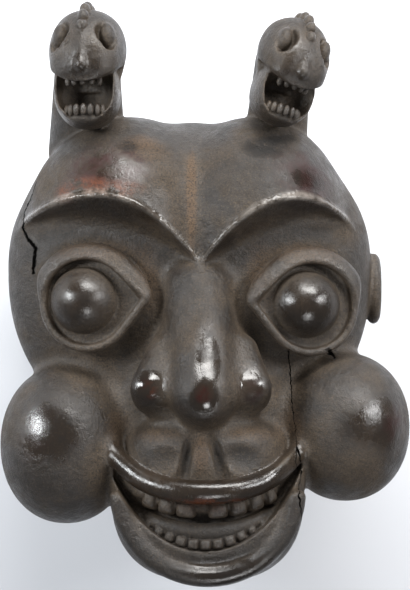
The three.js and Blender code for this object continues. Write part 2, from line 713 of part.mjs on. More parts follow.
// How much the shape counts at a place: less inside the hollow and on the back.
function careAt(x, y, z) {
  if (y > 128) return 3;
  if (hollow(x, y, z) < GRID_STEP) return 0.04;
  return z < 110 ? 0.15 : 1;
}

function wholeMask() {
  const carved = thinned(surfaceOf(mask(), BLOCK, GRID_STEP), FACES_OF_BLOCK, careAt);
  let solid = solidOf(geometryOf(carved));
  const details = [
    ...UPPER_TEETH.flatMap((row, k) => teethRow(row, UPPER_WIDTHS[k])),
    ...teethRow(LOWER_TEETH, LOWER_WIDTHS),
    ...LIZARDS.flatMap(lizardDetails),
  ];
  for (const shape of details) solid = solid.add(solidOf(shape));
  const far = FAR_AWAY;
  const underBack = boxBetween([-far, -far, -far], [far, far, 0]);
  const underRim = boxBetween([-far, -far, -far], [far, COLLAR_RIM_Y, RIM_TRIM_Z]);
  return solid.subtract(underBack).subtract(underRim);
}

function meshOf(name, solid, material) {
  const { vertProperties, triVerts } = solid.getMesh();
  const geometry = new THREE.BufferGeometry();
  geometry.setAttribute("position", new THREE.BufferAttribute(vertProperties, 3));
  geometry.setIndex(new THREE.BufferAttribute(triVerts, 1));
  geometry.translate(...TO_ORIGIN);
  geometry.computeVertexNormals();
  const mesh = new THREE.Mesh(geometry, material);
  mesh.name = name;
  return mesh;
}

const darkWood = new THREE.MeshStandardMaterial({ color: 0x3a2f29, roughness: 0.5, metalness: 0 });

const part = new THREE.Group();
part.add(meshOf("helmet_mask", wholeMask(), darkWood));

export default part;
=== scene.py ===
# %% [markdown]
# # A helmet mask from the Cameroon grasslands
#
# The mask is carved from one block of wood. It covers the wearer's head, and the face looks
# out over swollen cheeks and a wide mouth, with two gaping lizards on the crown. It lies on
# its back here, and the camera looks straight down on it.
#
# The work goes in this order: the picture's frame and light, the forms that make the block,
# the mesh, the teeth and knobs, the marks of use with painted shade and painted highlight, and
# the finish. All sizes of the carving are in millimetres, as in the model of the solid, and turn
# to metres when a mesh is made.

# %% Load the frame and set up the picture
import math

import bpy
import numpy as np
from mathutils import Euler, Matrix, Vector


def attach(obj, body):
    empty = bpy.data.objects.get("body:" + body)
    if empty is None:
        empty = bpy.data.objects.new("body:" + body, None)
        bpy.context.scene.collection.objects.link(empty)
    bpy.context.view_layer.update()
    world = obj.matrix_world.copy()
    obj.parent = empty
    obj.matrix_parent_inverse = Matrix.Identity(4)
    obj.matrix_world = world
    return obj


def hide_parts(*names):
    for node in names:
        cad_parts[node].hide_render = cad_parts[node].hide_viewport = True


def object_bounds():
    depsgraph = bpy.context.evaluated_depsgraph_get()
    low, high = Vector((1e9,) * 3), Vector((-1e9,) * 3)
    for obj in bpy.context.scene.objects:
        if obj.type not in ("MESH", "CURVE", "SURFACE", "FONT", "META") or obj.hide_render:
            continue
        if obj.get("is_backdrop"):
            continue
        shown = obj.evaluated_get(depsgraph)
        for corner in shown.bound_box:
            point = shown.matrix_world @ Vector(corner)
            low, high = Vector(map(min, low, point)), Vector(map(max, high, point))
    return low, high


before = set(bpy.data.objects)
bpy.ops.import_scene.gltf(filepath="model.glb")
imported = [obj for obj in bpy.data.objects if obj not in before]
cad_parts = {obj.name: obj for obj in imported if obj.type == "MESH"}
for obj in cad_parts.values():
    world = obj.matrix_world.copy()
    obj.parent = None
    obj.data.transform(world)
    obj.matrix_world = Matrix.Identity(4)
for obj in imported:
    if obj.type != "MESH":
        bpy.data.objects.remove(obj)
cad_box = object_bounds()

MM = 0.001
# The carving's own middle line isn't the middle of the box around it.
TO_ORIGIN = np.array([-0.1, -3.0, 0.0])

scene = bpy.context.scene
print("nodes in the frame:", len(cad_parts))
print("the solid's box in metres:", [[round(v, 3) for v in corner] for corner in cad_box])

# %% [markdown]
# ## Camera
#
# The photograph was taken from right above the mask. Nothing in it tells the lens or the
# distance, so about one and a half metres was chosen. From further off, with a longer lens,
# the near forms would look smaller beside the collar, so the distance matters as much as the
# frame. The sensor is fitted to the picture's width.

# %% Camera
PHOTO_SIZE = (410, 590)
CAMERA_HEIGHT = 1.550
FOCAL_PIXELS = 1795
SENSOR_WIDTH = 36


def add_object(name, data):
    thing = bpy.data.objects.new(name, data)
    scene.collection.objects.link(thing)
    return thing


camera_data = bpy.data.cameras.new("photo_camera")
camera_data.sensor_fit = "HORIZONTAL"
camera_data.sensor_width = SENSOR_WIDTH
camera_data.lens = FOCAL_PIXELS / PHOTO_SIZE[0] * SENSOR_WIDTH
camera = add_object("photo_camera", camera_data)
camera.location = (TO_ORIGIN[0] * MM, TO_ORIGIN[1] * MM, CAMERA_HEIGHT)
scene.camera = camera
print("camera at", [round(v, 4) for v in camera.location], "lens", round(camera_data.lens, 1))

# %% [markdown]
# ## Light and floor
#
# The highlights in the photograph are long and lie on the upper sides of all forms, so a wide
# window stands beyond the crown. Two smaller boxes draw the narrow lights at the sides, and a
# weak one lifts the jaw. The world gives little light: a bright one shows in the gloss of the
# dark wood as a grey veil.

# %% Lights
# Each light: its place and size in metres, its power in watts, and its colour.
LIGHTS = {
    "top_window": ((0.27, 1.15, 0.95), (1.00, 0.42), 31, (1.0, 0.99, 0.97)),
    "left_box": ((-0.95, 0.30, 0.85), (0.28, 0.36), 14, (0.95, 0.98, 1.0)),
    "right_box": ((0.90, 0.30, 0.85), (0.28, 0.36), 9, (1, 1, 1)),
    "low_box": ((0.20, -0.85, 1.10), (0.30, 0.30), 4, (1, 1, 1)),
}
LIT_POINT = Vector((0, 0, 0.15))
WORLD_COLOUR = (0.94, 0.97, 1.0, 1)
WORLD_STRENGTH = 0.25

for name, (at, size, watts, colour) in LIGHTS.items():
    light = bpy.data.lights.new(name, "AREA")
    light.shape = "RECTANGLE"
    light.size, light.size_y = size
    light.energy = watts
    light.color = colour
    lamp = add_object(name, light)
    lamp.location = at
    lamp.rotation_euler = (LIT_POINT - Vector(at)).to_track_quat("-Z", "Y").to_euler()

world = bpy.data.worlds.new("studio")
world.use_nodes = True
world.node_tree.nodes["Background"].inputs["Color"].default_value = WORLD_COLOUR
world.node_tree.nodes["Background"].inputs["Strength"].default_value = WORLD_STRENGTH
scene.world = world
scene.view_settings.view_transform = "Standard"
print("lights:", ", ".join(LIGHTS))

# %% Floor
FLOOR_HALF = 4.0
floor_mesh = bpy.data.meshes.new("floor")
floor_mesh.from_pydata(
    [(x * FLOOR_HALF, y * FLOOR_HALF, 0) for x, y in ((-1, -1), (1, -1), (1, 1), (-1, 1))],
    [],
    [(0, 1, 2, 3)],
)
floor = add_object("floor", floor_mesh)
floor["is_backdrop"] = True
print("floor", 2 * FLOOR_HALF, "m wide")

# %% [markdown]
# ## Forms
#
# A carver takes away wood until the form is left, and forms run into each other in soft
# hollows. Mesh modelling would need all those joints made by hand. Here each form is a
# function instead: it gives, for many points at once, about how many millimetres they lie
# outside the wood, and less than zero inside. Two forms are joined by taking the smaller
# value, rounded where they meet, and cut by taking the larger.
#
# Each form also knows the box that it lies in, so the far parts of the mask cost nothing.

# %% Basic forms
# What a join gives where no form is near, and how far around its box a form is near.
FAR = 60.0
NEAR = 12


class Form:
    """A function of points, and the box outside of which it is left out."""

    def __init__(self, function, low, high):
        self.function = function
        self.low = np.array(low, np.float32)
        self.high = np.array(high, np.float32)

    def __call__(self, points):
        return self.function(points)

    def near(self, points, margin):
        return np.all((points > self.low - margin) & (points < self.high + margin), axis=1)


def pair(radius):
    return radius if isinstance(radius, (list, tuple)) else (radius, radius)


def egg(at, radii, power=2.0):
    """An ellipsoid, squarer for a higher power, whose halves may differ along each axis.

    The two very small numbers keep its middle from a division by zero.
    """
    at = np.array(at, np.float32)
    minus = np.array([pair(radius)[0] for radius in radii], np.float32)
    plus = np.array([pair(radius)[1] for radius in radii], np.float32)

    def function(points):
        away = points - at
        radius = np.where(away < 0, minus, plus)
        share = np.abs(away) / radius + np.float32(1e-6)
        raised = share * share if power == 2 else share ** np.float32(power)
        size = raised.sum(axis=1) ** np.float32(1 / power)
        slope = np.sqrt(((raised / share / radius) ** 2).sum(axis=1))
        return (size - 1) / (slope * size ** np.float32(1 - power) + np.float32(1e-4))

    return Form(function, at - minus, at + plus)


def drop_distance(across, along, length, radius_a, radius_b):
    """The distance to the hull of two discs or balls of different radii."""
    lean = (radius_a - radius_b) / length
    upright = math.sqrt(1 - lean * lean)
    k = upright * along - lean * across
    side = across * upright + along * lean - radius_a
    first = np.hypot(across, along) - radius_a
    last = np.hypot(across, along - length) - radius_b
    return np.where(k < 0, first, np.where(k > upright * length, last, side))


def taper(start, end, radii):
    """A round rod between two points, with a radius at each end."""
    start, end = np.array(start, np.float32), np.array(end, np.float32)
    length = float(np.linalg.norm(end - start))
    axis = (end - start) / length

    def function(points):
        away = points - start
        along = away @ axis
        across = np.sqrt(np.maximum((away * away).sum(axis=1) - along * along, 0))
        return drop_distance(across, along, length, *radii)

    ends = np.array([start - radii[0], start + radii[0], end - radii[1], end + radii[1]])
    return Form(function, ends.min(axis=0), ends.max(axis=0))


test_ball = egg((0, 0, 0), (10, 10, 10))
print("a ball of 10 mm gives at 15 mm:", test_ball(np.array([[15, 0, 0]], np.float32)))


# %% Joining, cutting and placing
def soft_min(a, b, soft):
    """The smaller of two values, rounded off where they differ by less than soft."""
    near = np.maximum(soft - np.abs(a - b), 0) / soft
    return np.minimum(a, b) - near * near * (soft / 4)


def join(soft, *forms):
    """Forms made one, with a fillet that is about soft millimetres wide."""

    def function(points):
        whole = np.full(len(points), FAR, np.float32)
        for form in forms:
            near = form.near(points, soft + NEAR)
            whole[near] = soft_min(whole[near], form(points[near]), soft)
        return whole

    low = np.min([form.low for form in forms], axis=0)
    high = np.max([form.high for form in forms], axis=0)
    return Form(function, low, high)


def cut(soft, wood, tool):
    """The wood without the tool's form, with an edge that is rounded over soft millimetres."""

    def function(points):
        left = wood(points)
        near = tool.near(points, soft + NEAR)
        left[near] = -soft_min(-left[near], tool(points[near]), soft)
        return left

    return Form(function, wood.low, wood.high)


def trimmed(soft, wood, limit):
    """Keeps the wood where the plain function limit is below zero."""

    def function(points):
        return -soft_min(-wood(points), -limit(*points.T), soft)

    return Form(function, wood.low, wood.high)


def turned(at, degrees):
    """The matrix of a place and a turn."""
    angles = Euler([math.radians(value) for value in degrees], "YXZ")
    return Matrix.Translation(at) @ angles.to_matrix().to_4x4()


def placed(form, at, degrees, size=1.0):
    """Moves a form that was made about its own origin, and scales it."""
    back = np.array(turned(at, degrees).inverted(), np.float32)
    corners = np.array([
        [x, y, z]
        for x in (form.low[0], form.high[0])
        for y in (form.low[1], form.high[1])
        for z in (form.low[2], form.high[2])
    ])
    place = np.array(turned(at, degrees))
    corners = corners @ place[:3, :3].T * size + place[:3, 3]

    def function(points):
        return form((points @ back[:3, :3].T + back[:3, 3]) / size) * size

    return Form(function, corners.min(axis=0), corners.max(axis=0))


print("two values 1 mm apart, joined over 4 mm:", soft_min(2.0, 3.0, 4.0))

# %% [markdown]
# ## The helmet and its hollow
#
# The real helmet goes over the head and rests on the shoulders, so it is a deep bowl with a
# collar, about two centimetres thick. It could be a sphere with a Solidify modifier, but the
# face's wall is much thicker than the back's. So the hollow is a form of its own, which is
# cut away last, as the carver does it. The hollow is open at the neck.

# %% Helmet, collar and hollow
COLLAR_RIM_Y = -135
COLLAR_FRONT = {"slope": 0.6, "from_z": 104}
helmet_bowl = egg((-8, 20, 150), ((145, 137), (135, 108), (156, 68)), 2.3)
muzzle = egg((0, -88, 150), (88, 62, 72), 2.4)


def past_collar_rim(x, y, z):
    """How far a point lies past the rim, which rises towards the front."""
    return COLLAR_RIM_Y - y + COLLAR_FRONT["slope"] * np.maximum(z - COLLAR_FRONT["from_z"], 0)


collar = trimmed(1, egg((-8, -60, 110), (124, 150, (116, 90))), past_collar_rim)
helmet = join(8, helmet_bowl, collar)

neck_hole = trimmed(1, egg((-8, 0, 108), (92, 400, 78), 2.2), lambda x, y, z: y)
head_hollow = egg((-8, 2, 112), (118, 108, (88, 78)), 2.4)
face_hollow = egg((0, -75, 150), (92, 70, 34), 2.2)
hollow = join(12, head_hollow, face_hollow, neck_hole)
print("helmet from", helmet.low, "to", helmet.high)

# %% [markdown]
# ## The forehead
#
# Two lobes meet in a groove over the nose, and end below in two brow edges that swing up
# like a heart. The edge is crisp and worn bright, and its underside slopes in steeply. The
# two arcs are parabolas, so the cut below them is one formula for the whole brow.

# %% Forehead lobes and brow edges
BROWS = [
    {"top": (-79, 72.5), "fall": 48.5, "spans": (95, 74)},
    {"top": (68, 71), "fall": 47, "spans": (70, 70)},
]
BROW_UNDERCUT = 0.6
BROW_EDGE_BLEND = 1
BROW_RIM = {"raise": 2.2, "width": 5.5}
lobes = join(
    9,
    egg((-58, 52, 165), (80, (82, 85), 80)),
    egg((38, 52, 165), ((78, 72), (82, 85), 79)),
    egg((-10, 60, 150), (60, (82, 74), 76)),
)


def brow_line(x):
    """The height of the brow edge along the face."""
    arcs = []
    for brow in BROWS:
        top_x, top_y = brow["top"]
        share = (x - top_x) / np.where(x < top_x, *brow["spans"])
        arcs.append(top_y - brow["fall"] * share * share)
    return np.maximum(*arcs)


def forehead_function(points):
    brow = brow_line(points[:, 0])
    height = (points[:, 1] - brow) / BROW_RIM["width"]
    lobe = lobes(points) - BROW_RIM["raise"] * np.exp(-height * height)
    below = (brow - points[:, 1] + BROW_UNDERCUT * lobe) / math.hypot(1, BROW_UNDERCUT)
    return -soft_min(-lobe, -below, BROW_EDGE_BLEND)


forehead = Form(forehead_function, lobes.low, lobes.high)
print("the two brow edges meet at y", round(float(brow_line(np.array([-4.0]))[0]), 1))

# %% [markdown]
# ## Eyes
#
# Each eye is a ball that bulges out of a drop-shaped opening, whose point is towards the
# nose. The upper lid is a thick roll that overhangs, and the lower one is a thin rim. A
# swept curve would give one thickness. Here the roll is a tube around the drop's outline,
# and its radius, its height and its distance change from below to above.

# %% Eyeballs and lids
EYES = [
    {"at": (-85.5, -6, 210), "yaw": -13, "nose": 1},
    {"at": (76.5, -9, 210), "yaw": 13, "nose": -1},
]
EYEBALL = {"at": (-3, 2, 2), "radii": (26, 25, 28)}
# The drop's point, as seen from its round end, and the radii of both.
LID_CORNER = (42, 3)
LID_ROUND = 33
LID_POINT = 2
# Each lid: how far outside the drop, how thick and how high its roll lies, and how far
# inside the drop it ends. In between, the one goes over into the other.
LOWER_LID = {"out": 0.3, "radius": 3.3, "height": 9, "inner": 3}
UPPER_LID = {"out": 2.5, "radius": 9.5, "height": 5, "inner": 0.3}
LOWER_TO_UPPER = (-4, 26)
LID_MARGIN = {"out": 1.6, "height": 13.2, "radius": 2.4}
EYE_BED = {"top": 6.5, "bottom": -20}
EYE_BOX = ((-62, -48, -28), (62, 52, 34))


def smooth_step(value, start, end):
    """From 0 at start to 1 at end, with a soft beginning and end."""
    share = np.clip((value - start) / (end - start), 0, 1)
    return share * share * (3 - 2 * share)


def eye_function(nose):
    """An eye about its own middle. Nose is 1 where the nose is to the right, else -1."""
    ball = egg(EYEBALL["at"], EYEBALL["radii"])
    length = math.hypot(*LID_CORNER)
    axis = np.array([nose * LID_CORNER[0], LID_CORNER[1]], np.float32) / length

    def function(points):
        x, y, z = points.T
        along = x * axis[0] + y * axis[1]
        across = np.abs(y * axis[0] - x * axis[1])
        outside = drop_distance(across, along, length, LID_ROUND, LID_POINT)
        share = smooth_step(y, *LOWER_TO_UPPER)
        out, radius, height = (
            LOWER_LID[key] + (UPPER_LID[key] - LOWER_LID[key]) * share
            for key in ("out", "radius", "height")
        )
        lids = np.hypot(outside - out, z - height) - radius
        wider = LOWER_LID["inner"] - UPPER_LID["inner"]
        lids = -soft_min(-lids, outside + LOWER_LID["inner"] - wider * share, 1.5)
        margin = np.hypot(outside - LID_MARGIN["out"], z - LID_MARGIN["height"])
        margin = margin - LID_MARGIN["radius"] * share
        lids = soft_min(lids, margin, 1)
        bed = np.maximum(outside, np.maximum(z - EYE_BED["top"], EYE_BED["bottom"] - z))
        return soft_min(soft_min(ball(points), lids, 2), bed, 2)

    return function


eyes = [
    placed(Form(eye_function(eye["nose"]), *EYE_BOX), eye["at"], (0, eye["yaw"], 0))
    for eye in EYES
]
print("eyes at", [eye["at"] for eye in EYES])

# %% [markdown]
# ## Nose
#
# The nose is a straight bridge on a wider skirt, with a round tip and two swollen wings. Its
# lower edge runs from wing to wing as a wide V.

# %% Nose
nose_body = join(
    8,
    taper((-5, 1, 211), (-1, -70, 249), (28, 22.5)),
    taper((-1, -72, 248), (0, -103, 223), (22, 12)),
    taper((-4, -4, 198), (-1, -64, 212), (29, 33)),
)
wings = [
    taper((-33, -42, 226), (-40, -68, 238), (10, 14.5)),
    taper((29, -41, 226), (34, -67, 238), (10, 14.5)),
]
# From each wing a rounded edge slopes down to the middle of the nose.
lower_edges = [
    taper((-40, -76, 227), (0, -105, 222), (12, 12)),
    taper((35, -75, 227), (0, -105, 222), (12, 12)),
]
nose = join(10, join(16, nose_body, *wings), *lower_edges)
print("nose up to z", nose.high[2])

# %% [markdown]
# ## Mouth and jaw
#
# Under the nose there is a flat panel with two grooves, then a rolled upper lip, the open
# mouth, and a jaw like a half bowl with a rolled rim. Lip, slot, gum and teeth all rise at the
# corners, each by an amount of its own, and all fall back with the face by the same amount.

# %% Lip, mouth slot and jaw
# A bend rises by its first number times x squared, and its second times x to the fourth.
LIP_BEND = (0.0022, 7.5e-7)
JAW_BEND = (0.0090, 5.0e-7)
UPPER_TEETH_RISE = 0.0040
LOWER_TEETH_RISE = 0.0080
MOUTH_FALL_BACK = 0.007
JAW_AT = (2, -142, 210)
JAW_RADII = (72, 71, 46)
JAW_TOP = {"y": -144, "rise": 0.0075}
JAW_RIM = {"radius": 7.5, "inset": 8, "height": 34}
JAW_RIM_BOX = ((-78, -222, 230), (82, -136, 256))
SLOT = {"half": 70, "top": -144, "bottom": -186, "floor": 239, "corner": 14}
LIP = {"y": -142, "z": 258, "from": -70, "to": 68, "radius": 8.8, "end": 6.5}
SLOT_BOX = ((-70, -190, 200), (74, -110, 300))
# The gum, and the wood behind each row of teeth, so that the gaps between them stay shallow.
GUM_AND_ROOTS = [
    {"y": -172, "z": 245, "rise": 0.0045, "half": 52, "radius": 6},
    {"y": -153, "z": 243, "rise": UPPER_TEETH_RISE, "half": 48, "radius": 6},
    {"y": -180, "z": 242.5, "rise": LOWER_TEETH_RISE, "half": 50, "radius": 5.5},
]


def bend(x, amounts):
    """How far the mouth's curve rises at x."""
    return amounts[0] * x * x + amounts[1] * x ** 4


grooves = [
    taper((-10, -100, 246.5), (-17, -135, 249.5), (3.6, 4.8)),
    taper((4, -100, 246.5), (15, -135, 249.5), (3.6, 4.8)),
]
dishes = [egg((-37, -119, 253), (21, 13.5, 9.5)), egg((33, -118, 253), (23, 14, 9.5))]
panel = cut(2.5, egg((1, -122, 200), (61, (40, 34), 50), 2.8), join(1, *grooves, *dishes))


def jaw_rim_function(points):
    x, y, z = points.T
    rx, ry = (radius - JAW_RIM["inset"] for radius in JAW_RADII[:2])
    ring = (np.hypot((x - JAW_AT[0]) / rx, (y - JAW_AT[1]) / ry) - 1) * ry
    roll = np.hypot(ring, z - JAW_AT[2] - JAW_RIM["height"]) - JAW_RIM["radius"]
    return -soft_min(-roll, -(y - JAW_AT[1]), 6)


jaw_bowl = trimmed(
    5,
    egg(JAW_AT, JAW_RADII, 2.6),
    lambda x, y, z: y - JAW_TOP["y"] - JAW_TOP["rise"] * x * x,
)
jaw_rim = Form(jaw_rim_function, *JAW_RIM_BOX)
jaw = join(5, jaw_bowl, jaw_rim)


def slot_function(points):
    x, y, z = points.T
    above = y - SLOT["top"] - bend(x, LIP_BEND)
    below = SLOT["bottom"] + bend(x, JAW_BEND) - y
    beside = np.abs(x - JAW_AT[0]) - SLOT["half"]
    floor_z = SLOT["floor"] - MOUTH_FALL_BACK * x * x + SLOT["corner"] * (x / SLOT["half"]) ** 4
    return np.maximum.reduce([above, below, beside, floor_z - z])


def roll(start_y, start_z, amounts, ends, radii):
    """A roll along a bend of the mouth, thicker in the middle than at its ends."""
    middle = (ends[0] + ends[1]) / 2

    def function(points):
        x, y, z = points.T
        at = np.clip(x, *ends)
        # Three steps bring it to the nearest point of the bend.
        for _ in range(3):
            dy = 2 * amounts[0] * at + 4 * amounts[1] * at ** 3
            dz = -2 * MOUTH_FALL_BACK * at
            off_y = y - start_y - bend(at, amounts)
            off_z = z - start_z + MOUTH_FALL_BACK * at * at
            ahead = (x - at) + off_y * dy + off_z * dz
            at = np.clip(at + ahead / (1 + dy * dy + dz * dz), *ends)
        off_y = y - start_y - bend(at, amounts)
        off_z = z - start_z + MOUTH_FALL_BACK * at * at
        share = (at - middle) / (ends[1] - middle)
        radius = radii[0] + (radii[1] - radii[0]) * share * share
        return np.sqrt((x - at) ** 2 + off_y ** 2 + off_z ** 2) - radius

    reach = radii[0] + 2
    rise = bend(max(ends), amounts)
    fall = MOUTH_FALL_BACK * max(ends) ** 2
    low = (ends[0] - reach, start_y - reach, start_z - fall - reach)
    return Form(function, low, (ends[1] + reach, start_y + rise + reach, start_z + reach))


slot = Form(slot_function, *SLOT_BOX)
lip_ends = (LIP["from"], LIP["to"])
upper_lip = roll(LIP["y"], LIP["z"], LIP_BEND, lip_ends, (LIP["radius"], LIP["end"]))
gum_and_roots = [
    roll(one["y"], one["z"], (one["rise"], 0), (-one["half"], one["half"]), [one["radius"]] * 2)
    for one in GUM_AND_ROOTS
]
mouth = join(2, cut(2, join(6, panel, jaw), slot), upper_lip, *gum_and_roots)
print("mouth", SLOT["top"] - SLOT["bottom"], "mm open at the middle")

# %% [markdown]
# ## Cheeks and ears
#
# The cheeks are the largest forms after the helmet: two balls that stand out past its sides.
# The ears are low rings around a shallow dish.

# %% Cheeks and ears
cheeks = [
    egg((-105, -113, 185), (50, 60, 57), 2.1),
    egg((106, -100, 185), (49, 56, 57), 2.1),
]
EAR = {"half": (21, 16), "roll": 5, "dish": 4, "depth": 25, "span": (32, 27, 23)}


def ear(at, side):
    """A ring around a dish, which faces to the right where side is 1, else to the left."""

    def function(points):
        x, y, z = (points - np.array(at, np.float32)).T
        ring = (np.hypot(y / EAR["half"][0], z / EAR["half"][1]) - 1) * EAR["half"][1]
        rim = np.hypot(ring, x) - EAR["roll"]
        outward = x * side + EAR["dish"]
        plate = np.maximum(ring, np.maximum(outward, -outward - EAR["depth"]))
        return soft_min(rim, plate, 3)

    span = np.array(EAR["span"])
    return Form(function, np.array(at) - span, np.array(at) + span)


ears = [ear((-146, 3, 96), -1), ear((132, 5, 142), 1)]
print("cheeks from x", cheeks[0].low[0], "to", cheeks[1].high[0])

# %% [markdown]
# ## Lizards
#
# Each head is made about its own middle, looking along z with its mouth open, and then
# turned and placed. The right one looks a little to the side. The eyes mirror each other,
# so their forms are read at the absolute value of x.

# %% A lizard's head and neck
PALATE = {"y": -21, "slope": 0.3, "bow": 0.011, "back_z": -2}
LIZARDS = [
    {"at": (-87, 183.5, 212), "turn": (-4, -6, 0), "size": 1.0},
    {"at": (65.5, 180, 212), "turn": (-2, 20, -16), "size": 0.92},
]
LIZARD_NECKS = [
    taper((-89, 180, 190), (-92, 112, 148), (24, 30)),
    taper((59, 176, 188), (54, 110, 148), (21, 25)),
]


def palate(x, y, z):
    """How far a point lies above the roof of the mouth."""
    return y - PALATE["y"] + PALATE["slope"] * z - PALATE["bow"] * x * x


def mirrored(form):
    """A form on the right, and the same one on the left."""

    def function(points):
        return form(np.abs(points) * [1, 0, 0] + points * [0, 1, 1])

    return Form(function, form.high * [-1, 0, 0] + form.low * [0, 1, 1], form.high)


upper_head = join(12, egg((0, 4, -2), (27, 25, 30), 2.1), egg((0, -12, 8), (26, 22, 26), 2.8))
above_palate = trimmed(
    1.5, upper_head, lambda x, y, z: -np.maximum(palate(x, y, z), PALATE["back_z"] - z)
)
gape = trimmed(1, egg((0, -32, 28), (22, 24.5, 34), 2.3), palate)
lower_head = cut(1.5, egg((0, -33, 1), (24.5, 27, 30), 2.3), gape)
lizard_head = join(
    2,
    above_palate,
    lower_head,
    taper((0, 12, 28), (0, -18, 32.5), (2.5, 5.5)),
    egg((0, -52, 4), (16, 9, 15)),
)
eye_socket = mirrored(egg((17.5, 5, 25), (8.5, 13, 7)))
lizard_eye = mirrored(egg((17.5, 5, 19.5), (5.5, 9.5, 7)))
lizard_head = join(1.5, cut(1.5, lizard_head, eye_socket), lizard_eye)
lizards = [
    join(5, placed(lizard_head, one["at"], one["turn"], one["size"]), neck)
    for one, neck in zip(LIZARDS, LIZARD_NECKS)
]
print("lizards from y", [round(float(one.low[1])) for one in lizards])

# %% [markdown]
# ## The block
#
# Now the forms become one block, in the carver's order: the face on the helmet, then the
# features, then what sits on the crown, and the hollow last. The back lies flat on the floor
# and the collar's rim is sawn straight, so both get a plain cut.

# %% Join the forms
RIM_TRIM_Z = 122
face = join(12, helmet, muzzle, *cheeks)
carved = join(8, join(8, join(8, face, mouth), nose), forehead)
dressed = join(3, carved, *eyes, *ears, *lizards)
whole = cut(3, dressed, hollow)
block = trimmed(
    0.5,
    whole,
    lambda x, y, z: np.maximum(-z, np.minimum(COLLAR_RIM_Y - y, RIM_TRIM_Z - z)),
)
print("the block's forms reach from", block.low, "to", block.high)

# %% [markdown]
# ## Measure the block on a grid
#
# To get a mesh, the whole is measured at the points of a fine grid. Most of these points are
# far from the surface, so a coarse grid is measured first, and only where it comes near the
# surface is the fine one measured too.

# %% The values on the grid
GRID_LOW = np.array([-168, -228, -9], np.float32)
GRID_HIGH = np.array([174, 236, 288], np.float32)
GRID_STEP = 1.5
COARSE = 3
NEAR_SURFACE = 8.0
POINTS_AT_ONCE = 60000


def measured(form, points):
    """The form's values, for a part of the points at a time to save memory."""
    starts = range(0, len(points), POINTS_AT_ONCE)
    return np.concatenate([form(points[start:start + POINTS_AT_ONCE]) for start in starts])


def grid_points(index, step):
    return GRID_LOW + index.astype(np.float32) * np.float32(step)


def finer(values, times):
    """Fills in a coarse grid along straight lines between its points."""
    for axis in range(3):
        rows = np.moveaxis(values, axis, 0)
        between = np.empty(((len(rows) - 1) * times + 1,) + rows.shape[1:], np.float32)
        for k in range(times):
            between[k::times][:len(rows) - 1] = rows[:-1] + (rows[1:] - rows[:-1]) * (k / times)
        between[-1] = rows[-1]
        values = np.moveaxis(between, 0, axis)
    return np.ascontiguousarray(values)


coarse_step = GRID_STEP * COARSE
counts = np.ceil((GRID_HIGH - GRID_LOW) / coarse_step).astype(int) + 1
coarse_index = np.indices(counts).reshape(3, -1).T
values = measured(block, grid_points(coarse_index, coarse_step)).reshape(counts)
values = finer(values, COARSE)
near_index = np.argwhere(np.abs(values) < NEAR_SURFACE)
values[tuple(near_index.T)] = measured(block, grid_points(near_index, GRID_STEP))
print("grid of", values.shape, "points, of which", len(near_index), "lie near the surface")

# %% [markdown]
# ## From grid to mesh
#
# A cell of eight grid points that has some of them in the wood and some outside holds a piece
# of the surface. It gets one vertex, and four cells around a grid line that enters the wood
# share a face. That stays a clean closed mesh as long as no cell holds two pieces of surface,
# so such cells are filled up a little first.

# %% Clear up double cells
JUST_INSIDE = -0.02
CORNERS = np.array([[i >> 2 & 1, i >> 1 & 1, i & 1] for i in range(8)])


def in_one_piece(corners):
    """True when the cell's corners hang together along its edges."""
    if not corners:
        return True
    found, waiting = {corners[0]}, [corners[0]]
    while waiting:
        here = waiting.pop()
        for neighbour in (here ^ 1, here ^ 2, here ^ 4):
            if neighbour in corners and neighbour not in found:
                found.add(neighbour)
                waiting.append(neighbour)
    return len(found) == len(corners)


CLEAR = np.array([
    in_one_piece([i for i in range(8) if kind >> i & 1])
    and in_one_piece([i for i in range(8) if not kind >> i & 1])
    for kind in range(256)
])


def corner_view(array, corner):
    """The values at one corner of all cells."""
    return array[tuple(slice(c, array.shape[k] - 1 + c) for k, c in enumerate(corner))]


def cell_kinds(values):
    """A number for each cell that has a bit for each corner in the wood."""
    kinds = np.zeros(np.array(values.shape) - 1, np.uint8)
    for i, corner in enumerate(CORNERS):
        kinds |= (corner_view(values, corner) < 0).astype(np.uint8) << np.uint8(i)
    return kinds


kinds = cell_kinds(values)
filled = 0
while not CLEAR[kinds].all():
    cells = np.argwhere(~CLEAR[kinds])
    corners = cells[:, None, :] + CORNERS
    at_corner = values[tuple(corners.reshape(-1, 3).T)].reshape(-1, 8)
    at_corner = np.where(at_corner < 0, np.inf, at_corner)
    chosen = corners[np.arange(len(cells)), at_corner.argmin(axis=1)]
    values[tuple(chosen.T)] = JUST_INSIDE
    filled += len(chosen)
    kinds = cell_kinds(values)
print("grid points filled in double cells:", filled)

# %% Vertices and faces
cells = np.argwhere((kinds > 0) & (kinds < 255))
vertex_of = np.full(kinds.shape, -1, np.int32)
vertex_of[tuple(cells.T)] = np.arange(len(cells))
total = np.zeros((len(cells), 3), np.float32)
crossings = np.zeros((len(cells), 1), np.float32)
for a in range(8):
    for b in (a | 1, a | 2, a | 4):
        if a == b:
            continue
        value_a = values[tuple((cells + CORNERS[a]).T)]
        value_b = values[tuple((cells + CORNERS[b]).T)]
        crosses = (value_a < 0) != (value_b < 0)
        share = np.where(crosses, value_a / np.where(crosses, value_a - value_b, 1), 0)[:, None]
        point = CORNERS[a] + share * (CORNERS[b] - CORNERS[a])
        total += np.where(crosses[:, None], point, 0)
        crossings += crosses[:, None]
positions = grid_points(cells + total / crossings, GRID_STEP)

